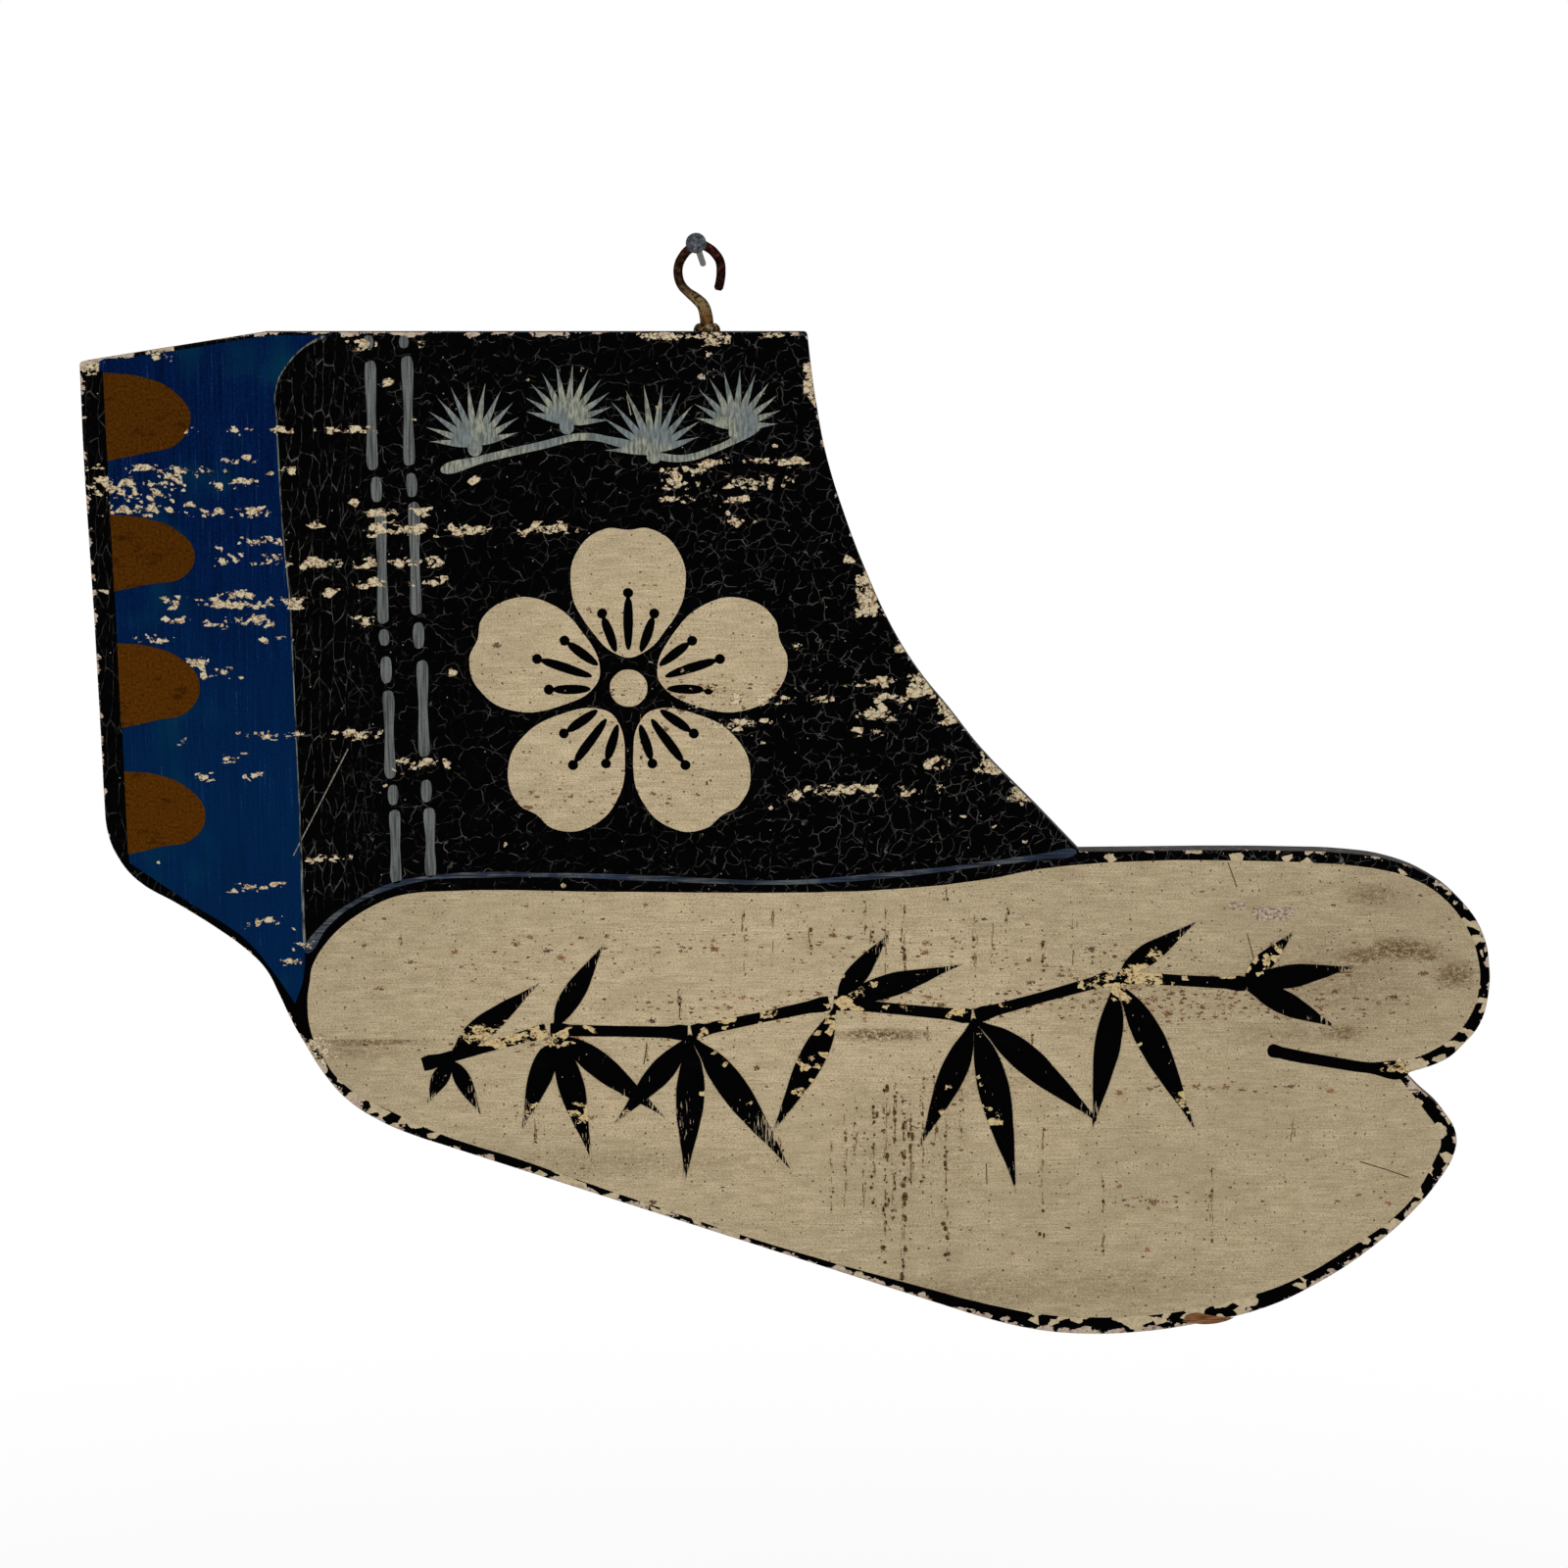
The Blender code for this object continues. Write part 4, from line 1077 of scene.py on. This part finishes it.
class SIGN_OT_clasps(Operator):
    """Paint the four ochre clasps"""

    bl_idname = "sign.clasps"
    bl_label = "Clasps"

    def execute(self, context):
        settings = context.scene.sign_paint
        ochre = ochre_paint(settings, "speckled_ochre_paint")
        for i, (top, tip, bottom) in enumerate(CLASPS):
            width = tip[0] - top[0]
            outline = [
                (*top, 1),
                (top[0] + width * 0.42, top[1] + 1.6),
                (top[0] + width * 0.80, top[1] + (tip[1] - top[1]) * 0.42),
                tip,
                (bottom[0] + width * 0.84, bottom[1] - (bottom[1] - tip[1]) * 0.40),
                (bottom[0] + width * 0.42, bottom[1] - 3.0),
                (*bottom, 1),
            ]
            coat(settings, f"clasp_{i + 1}", [outline], DETAIL_LIFT, ochre)
        return {"FINISHED"}


class SIGN_OT_stitches(Operator):
    """Paint the two broken lines of stitching"""

    bl_idname = "sign.stitches"
    bl_label = "Stitches"

    def execute(self, context):
        settings = context.scene.sign_paint
        grey = thin_paint(settings, "thin_grey_paint", settings.grey, shade(settings.grey, 0.34))
        width = settings.stitch_width / MM
        for name, stitches in STITCHES.items():
            outlines = []
            for x, start, end in stitches:
                lean = (end - start) * 0.018
                fat = min(1.0, 0.82 + (end - start) / 150)
                ends = min(width * 0.22, (end - start) * 0.2)
                line = [(x - lean / 2, start, width * 0.55), (x - lean / 4, start + ends, width * fat)]
                if end - start > 14:
                    line += [(x, (start + end) / 2, width * (fat - 0.1))]
                line += [(x + lean / 4, end - ends, width * fat), (x + lean / 2, end, width * 0.6)]
                outlines.append(stroke(line))
            coat(settings, name, outlines, DETAIL_LIFT, grey)
        return {"FINISHED"}


class SIGN_OT_lines(Operator):
    """Paint the piping over the foot and the line of the split toe"""

    bl_idname = "sign.lines"
    bl_label = "Piping and split toe"

    def execute(self, context):
        settings = context.scene.sign_paint
        width = settings.piping_width / MM
        piping = stroke([(x, drop, width * (0.85 + 0.3 * (i % 2))) for i, (x, drop) in enumerate(PIPING)])
        colours = ((0.105, 0.115, 0.120), (0.012, 0.016, 0.026))
        grey_blue = thin_paint(settings, "grey_blue_paint", *colours, (31.5, 0.7), (0.030, 0.046, 0.078))
        coat(settings, "piping_line", [piping], DETAIL_LIFT, grey_blue)
        black = black_paint(settings, "line_black_paint")
        coat(settings, "split_toe_line", [stroke(CLEFT)], DETAIL_LIFT, black, "black_board")
        return {"FINISHED"}


class SIGN_OT_blossom(Operator):
    """Paint the plum blossom on the ankle"""

    bl_idname = "sign.blossom"
    bl_label = "Plum blossom"

    def execute(self, context):
        settings = context.scene.sign_paint
        radius = settings.blossom_radius / MM
        x, drop = BLOSSOM
        cream = cream_paint(settings, "blossom_cream_paint")
        petals = [petal(x, drop, angle, radius) for angle in range(-90, 270, 72)]
        coat(settings, "blossom_petals", petals, ORNAMENT_LIFT, cream, "cream_board", CREAM_MAPS)
        heart = disc(x, drop, radius * 0.115)
        coat(settings, "blossom_heart", [heart], ORNAMENT_LIFT, cream, "cream_board", CREAM_MAPS)
        stamens = []
        for angle in range(-90, 270, 72):
            for swing, reach in ((-19, 0.46), (0, 0.56), (19, 0.46)):
                way = (x, drop, angle + swing)
                end = radius * reach
                stamens.append(stroke([(*turned(*way, radius * 0.24), 1.1), (*turned(*way, end), 1.5)]))
                stamens.append(disc(*turned(*way, end + 2.0), 2.1))
        black = black_paint(settings, "stamen_black_paint")
        coat(settings, "blossom_stamens", stamens, MARK_LIFT, black, "black_board")
        return {"FINISHED"}


class SIGN_OT_pine(Operator):
    """Paint the grey-green pine sprigs along the top"""

    bl_idname = "sign.pine"
    bl_label = "Pine sprigs"

    def execute(self, context):
        settings = context.scene.sign_paint
        outlines = []
        for x, drop, lean, length in PINE_SPRIGS:
            for step in range(-5, 6):
                reach = length * (1.0 - 0.012 * step * step)
                outlines.append(leaf(x, drop, lean + step * 14.5, reach, 2.7, 0.02 * step))
            outlines.append(disc(x, drop + 1.0, 3.0))
        colours = (settings.sprig, (0.110, 0.125, 0.110))
        green = thin_paint(settings, "grey_green_paint", *colours, (1.05, 5.0), (0.190, 0.225, 0.240))
        coat(settings, "pine_sprigs", outlines, ORNAMENT_LIFT, green)
        coat(settings, "pine_twig", [stroke(PINE_TWIG)], DETAIL_LIFT, green)
        return {"FINISHED"}


class SIGN_OT_bamboo(Operator):
    """Paint the black bamboo branch on the foot"""

    bl_idname = "sign.bamboo"
    bl_label = "Bamboo branch"

    def execute(self, context):
        settings = context.scene.sign_paint
        brushed = {"wear": "brush_wear", "block": BRUSH_BLOCK}
        joints = []
        for (x, drop), (end, end_drop) in zip(BAMBOO_BRANCH, BAMBOO_BRANCH[1:]):
            along = Vector((end - x, end_drop - drop))
            line = [(x + along.x * share, drop + along.y * share, width) for share, width in BAMBOO_JOINT]
            joints.append(stroke(line, 1))
        black = black_paint(settings, "stem_black_paint", **brushed)
        coat(settings, "bamboo_joints", joints, ORNAMENT_LIFT, black, "black_board", ("brush_wear",))
        leaves = [leaf(x, drop, *size, SAG) for x, drop, fan in BAMBOO_LEAVES for size in fan]
        dry_black = black_paint(settings, "leaf_black_paint", dry=True, **brushed)
        coat(settings, "bamboo_leaves", leaves, MARK_LIFT, dry_black, "black_board", ("brush_wear", "dry"))
        return {"FINISHED"}


class SIGN_OT_stains(Operator):
    """Add the brown runs and drops on the foot, and the scratches"""

    bl_idname = "sign.stains"
    bl_label = "Runs and drops"

    def execute(self, context):
        settings = context.scene.sign_paint
        chance = random.Random(DROP_SEED)
        drops, trails = [], []
        for x, start, end, count, largest in STAIN_RUNS:
            for _ in range(int((end - start) / 5)):
                top, length = chance.uniform(start, end - 6), chance.uniform(2.0, 6.0)
                off = x + chance.gauss(0, 0.5)
                width = chance.uniform(0.2, 0.55)
                run = [(off, top, 0.15), (off + 0.1, top + length / 2, width), (off, top + length, 0.15)]
                trails.append(stroke(run, 1))
            for _ in range(int(count * 1.7)):
                place = start + (end - start) * chance.random()
                size = largest * (0.22 + 0.78 * chance.random() ** 3)
                tall = size * chance.choice((1.0, 1.0, 1.1, 1.3, 1.3, 1.8, 2.6))
                off = x + chance.gauss(0, 0.6)
                foot = place + tall * 0.9
                drops.append([(off, place - tall), (off + size, place), (off, foot), (off - size, place)])
        brown = stain("brown_stain", (0.020, 0.010, 0.004), (0.160, 0.082, 0.028))
        coat(settings, "stain_drops", drops, MARK_LIFT, brown, maps=())
        faint = stain("faint_stain", (0.085, 0.038, 0.013), (0.320, 0.215, 0.105))
        coat(settings, "stain_trails", trails, DETAIL_LIFT, faint, maps=())
        dark = [stroke([(x, drop, 0.4) for x, drop in scratch], 1) for scratch in DARK_SCRATCHES]
        coat(settings, "dark_scratches", dark, DETAIL_LIFT, brown, maps=())
        pale = [stroke([(x, drop, 0.45) for x, drop in scratch], 1) for scratch in PALE_SCRATCHES]
        scraped = stain("pale_scratch", (0.150, 0.130, 0.100), (0.330, 0.290, 0.220))
        coat(settings, "pale_scratches", pale, DETAIL_LIFT, scraped, maps=())
        return {"FINISHED"}


class SIGN_OT_woodwork(Operator):
    """Finish the planks' backs and edges, and the battens"""

    bl_idname = "sign.woodwork"
    bl_label = "Planks and battens"

    def execute(self, context):
        settings = context.scene.sign_metal
        for i, (node, tone) in enumerate(zip(PLANKS, (1.0, 0.82, 1.12, 0.92))):
            wood = old_wood(settings, f"{node}_wood", 1, tone, 5.3 * i, painted=True)
            dress(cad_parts[node].data, wood)
        for i, node in enumerate(BATTENS):
            wood = old_wood(settings, f"{node}_wood", -1, 0.88 + 0.08 * i, 2.7 * i)
            dress(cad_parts[node].data, wood)
        return {"FINISHED"}


class SIGN_OT_ironwork(Operator):
    """Finish the hook, its collar, the wall nail and the battens' nails"""

    bl_idname = "sign.ironwork"
    bl_label = "Hook and nails"

    def execute(self, context):
        settings = context.scene.sign_metal
        forged = forged_iron("forged_nail_iron")
        finishes = {
            "screw_hook": rusted_iron(settings, "rusted_hook_iron"),
            "hook_collar": collar_iron("lumpy_collar_iron"),
            "wall_nail": nail_steel(settings, "mottled_nail_steel"),
        }
        for name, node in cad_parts.items():
            if "_nail_" in name or name in finishes:
                dress(node.data, finishes.get(name, forged))
        return {"FINISHED"}


class SIGN_OT_stage(Operator):
    """Set the floor, the lamps, the sky and the camera"""

    bl_idname = "sign.stage"
    bl_label = "Stage"

    def execute(self, context):
        settings = context.scene.sign_stage
        self.make_floor(settings)
        self.make_sky(settings)
        self.make_lamp("key_lamp", (-1.5, -2.3, 1.5), 1.6, settings.key_power)
        self.make_lamp("fill_lamp", (1.9, -1.9, 0.5), 1.8, settings.fill_power)
        self.make_camera(settings)
        context.scene.view_settings.view_transform = "Standard"
        return {"FINISHED"}

    def make_floor(self, settings):
        """A matt floor that the camera sees fade to white."""
        shape = bmesh.new()
        bmesh.ops.create_circle(shape, cap_ends=True, segments=96, radius=6.0)
        mesh = bpy.data.meshes.new("floor")
        shape.to_mesh(mesh)
        shape.free()
        floor = add_object("floor", mesh)
        floor.location.z = cad_low.z - settings.floor_gap
        finish = Finish("white_floor", roughness=0.9, gloss=0.1)
        finish.base = (0.86, 0.86, 0.86)
        from_middle = finish.add("ShaderNodeVectorMath", {0: finish.place}, operation="LENGTH")
        white = finish.add("ShaderNodeEmission", {"Color": (1.0, 1.0, 1.0), "Strength": 1.0})
        share = finish.times(finish.seen(), finish.ramp(from_middle.outputs["Value"], -2.2, 1.6))
        finish.show("Material Output", share, finish.shader, white)
        mesh.materials.append(finish.done(None, None))

    def make_sky(self, settings):
        """Soft light from all round, behind which the camera sees white."""
        world = bpy.data.worlds.new("soft_sky")
        world.use_nodes = True
        bpy.context.scene.world = world
        sky = Nodes(world.node_tree)
        light = sky.nodes["Background"]
        sky.join(light.inputs["Color"], (1.0, 1.0, 1.0))
        sky.join(light.inputs["Strength"], settings.sky)
        white = sky.add("ShaderNodeBackground", {"Color": (1.0, 1.0, 1.0)})
        sky.show("World Output", sky.seen(), light, white)

    def make_lamp(self, name, place, size, power):
        lamp = bpy.data.lights.new(name, "AREA")
        lamp.size = size
        lamp.energy = power
        placed = add_object(name, lamp)
        placed.location = place
        placed.rotation_euler = (LAMP_AIM - Vector(place)).to_track_quat("-Z", "Y").to_euler()

    def make_camera(self, settings):
        data = bpy.data.cameras.new("camera")
        data.lens = settings.lens
        data.sensor_width = 36.0
        data.clip_start = 0.05
        camera = add_object("camera", data)
        back = Vector((0.0, -math.cos(settings.height), math.sin(settings.height)))
        camera.location = Vector((settings.target_x, FACE_Y, settings.target_z)) + back * settings.distance
        camera.rotation_euler = (-back).to_track_quat("-Z", "Y").to_euler()
        bpy.context.scene.camera = camera


OPERATORS = (
    SIGN_OT_woodwork,
    SIGN_OT_ironwork,
    SIGN_OT_black_ground,
    SIGN_OT_cream_foot,
    SIGN_OT_blue_band,
    SIGN_OT_clasps,
    SIGN_OT_stitches,
    SIGN_OT_lines,
    SIGN_OT_blossom,
    SIGN_OT_pine,
    SIGN_OT_bamboo,
    SIGN_OT_stains,
    SIGN_OT_stage,
)


class SIGN_PT_panel(Panel):
    """The sign's pieces and settings"""

    bl_label = "Trade Sign"
    bl_idname = "SIGN_PT_panel"
    bl_space_type = "VIEW_3D"
    bl_region_type = "UI"
    bl_category = "Trade Sign"

    def draw(self, context):
        for operator in OPERATORS:
            self.layout.operator(operator.bl_idname)
        for group in ("sign_paint", "sign_metal", "sign_stage"):
            settings = getattr(context.scene, group)
            box = self.layout.box()
            for name in settings.__annotations__:
                box.prop(settings, name)


CLASSES = (PaintSettings, MetalSettings, StageSettings, *OPERATORS, SIGN_PT_panel)


def register():
    for cls in CLASSES:
        bpy.utils.register_class(cls)
    bpy.types.Scene.sign_paint = PointerProperty(type=PaintSettings)
    bpy.types.Scene.sign_metal = PointerProperty(type=MetalSettings)
    bpy.types.Scene.sign_stage = PointerProperty(type=StageSettings)


def unregister():
    del bpy.types.Scene.sign_stage
    del bpy.types.Scene.sign_metal
    del bpy.types.Scene.sign_paint
    for cls in reversed(CLASSES):
        bpy.utils.unregister_class(cls)


def main():
    register()
    for operator in OPERATORS:
        group, name = operator.bl_idname.split(".")
        getattr(getattr(bpy.ops, group), name)()


if __name__ == "__main__":
    main()
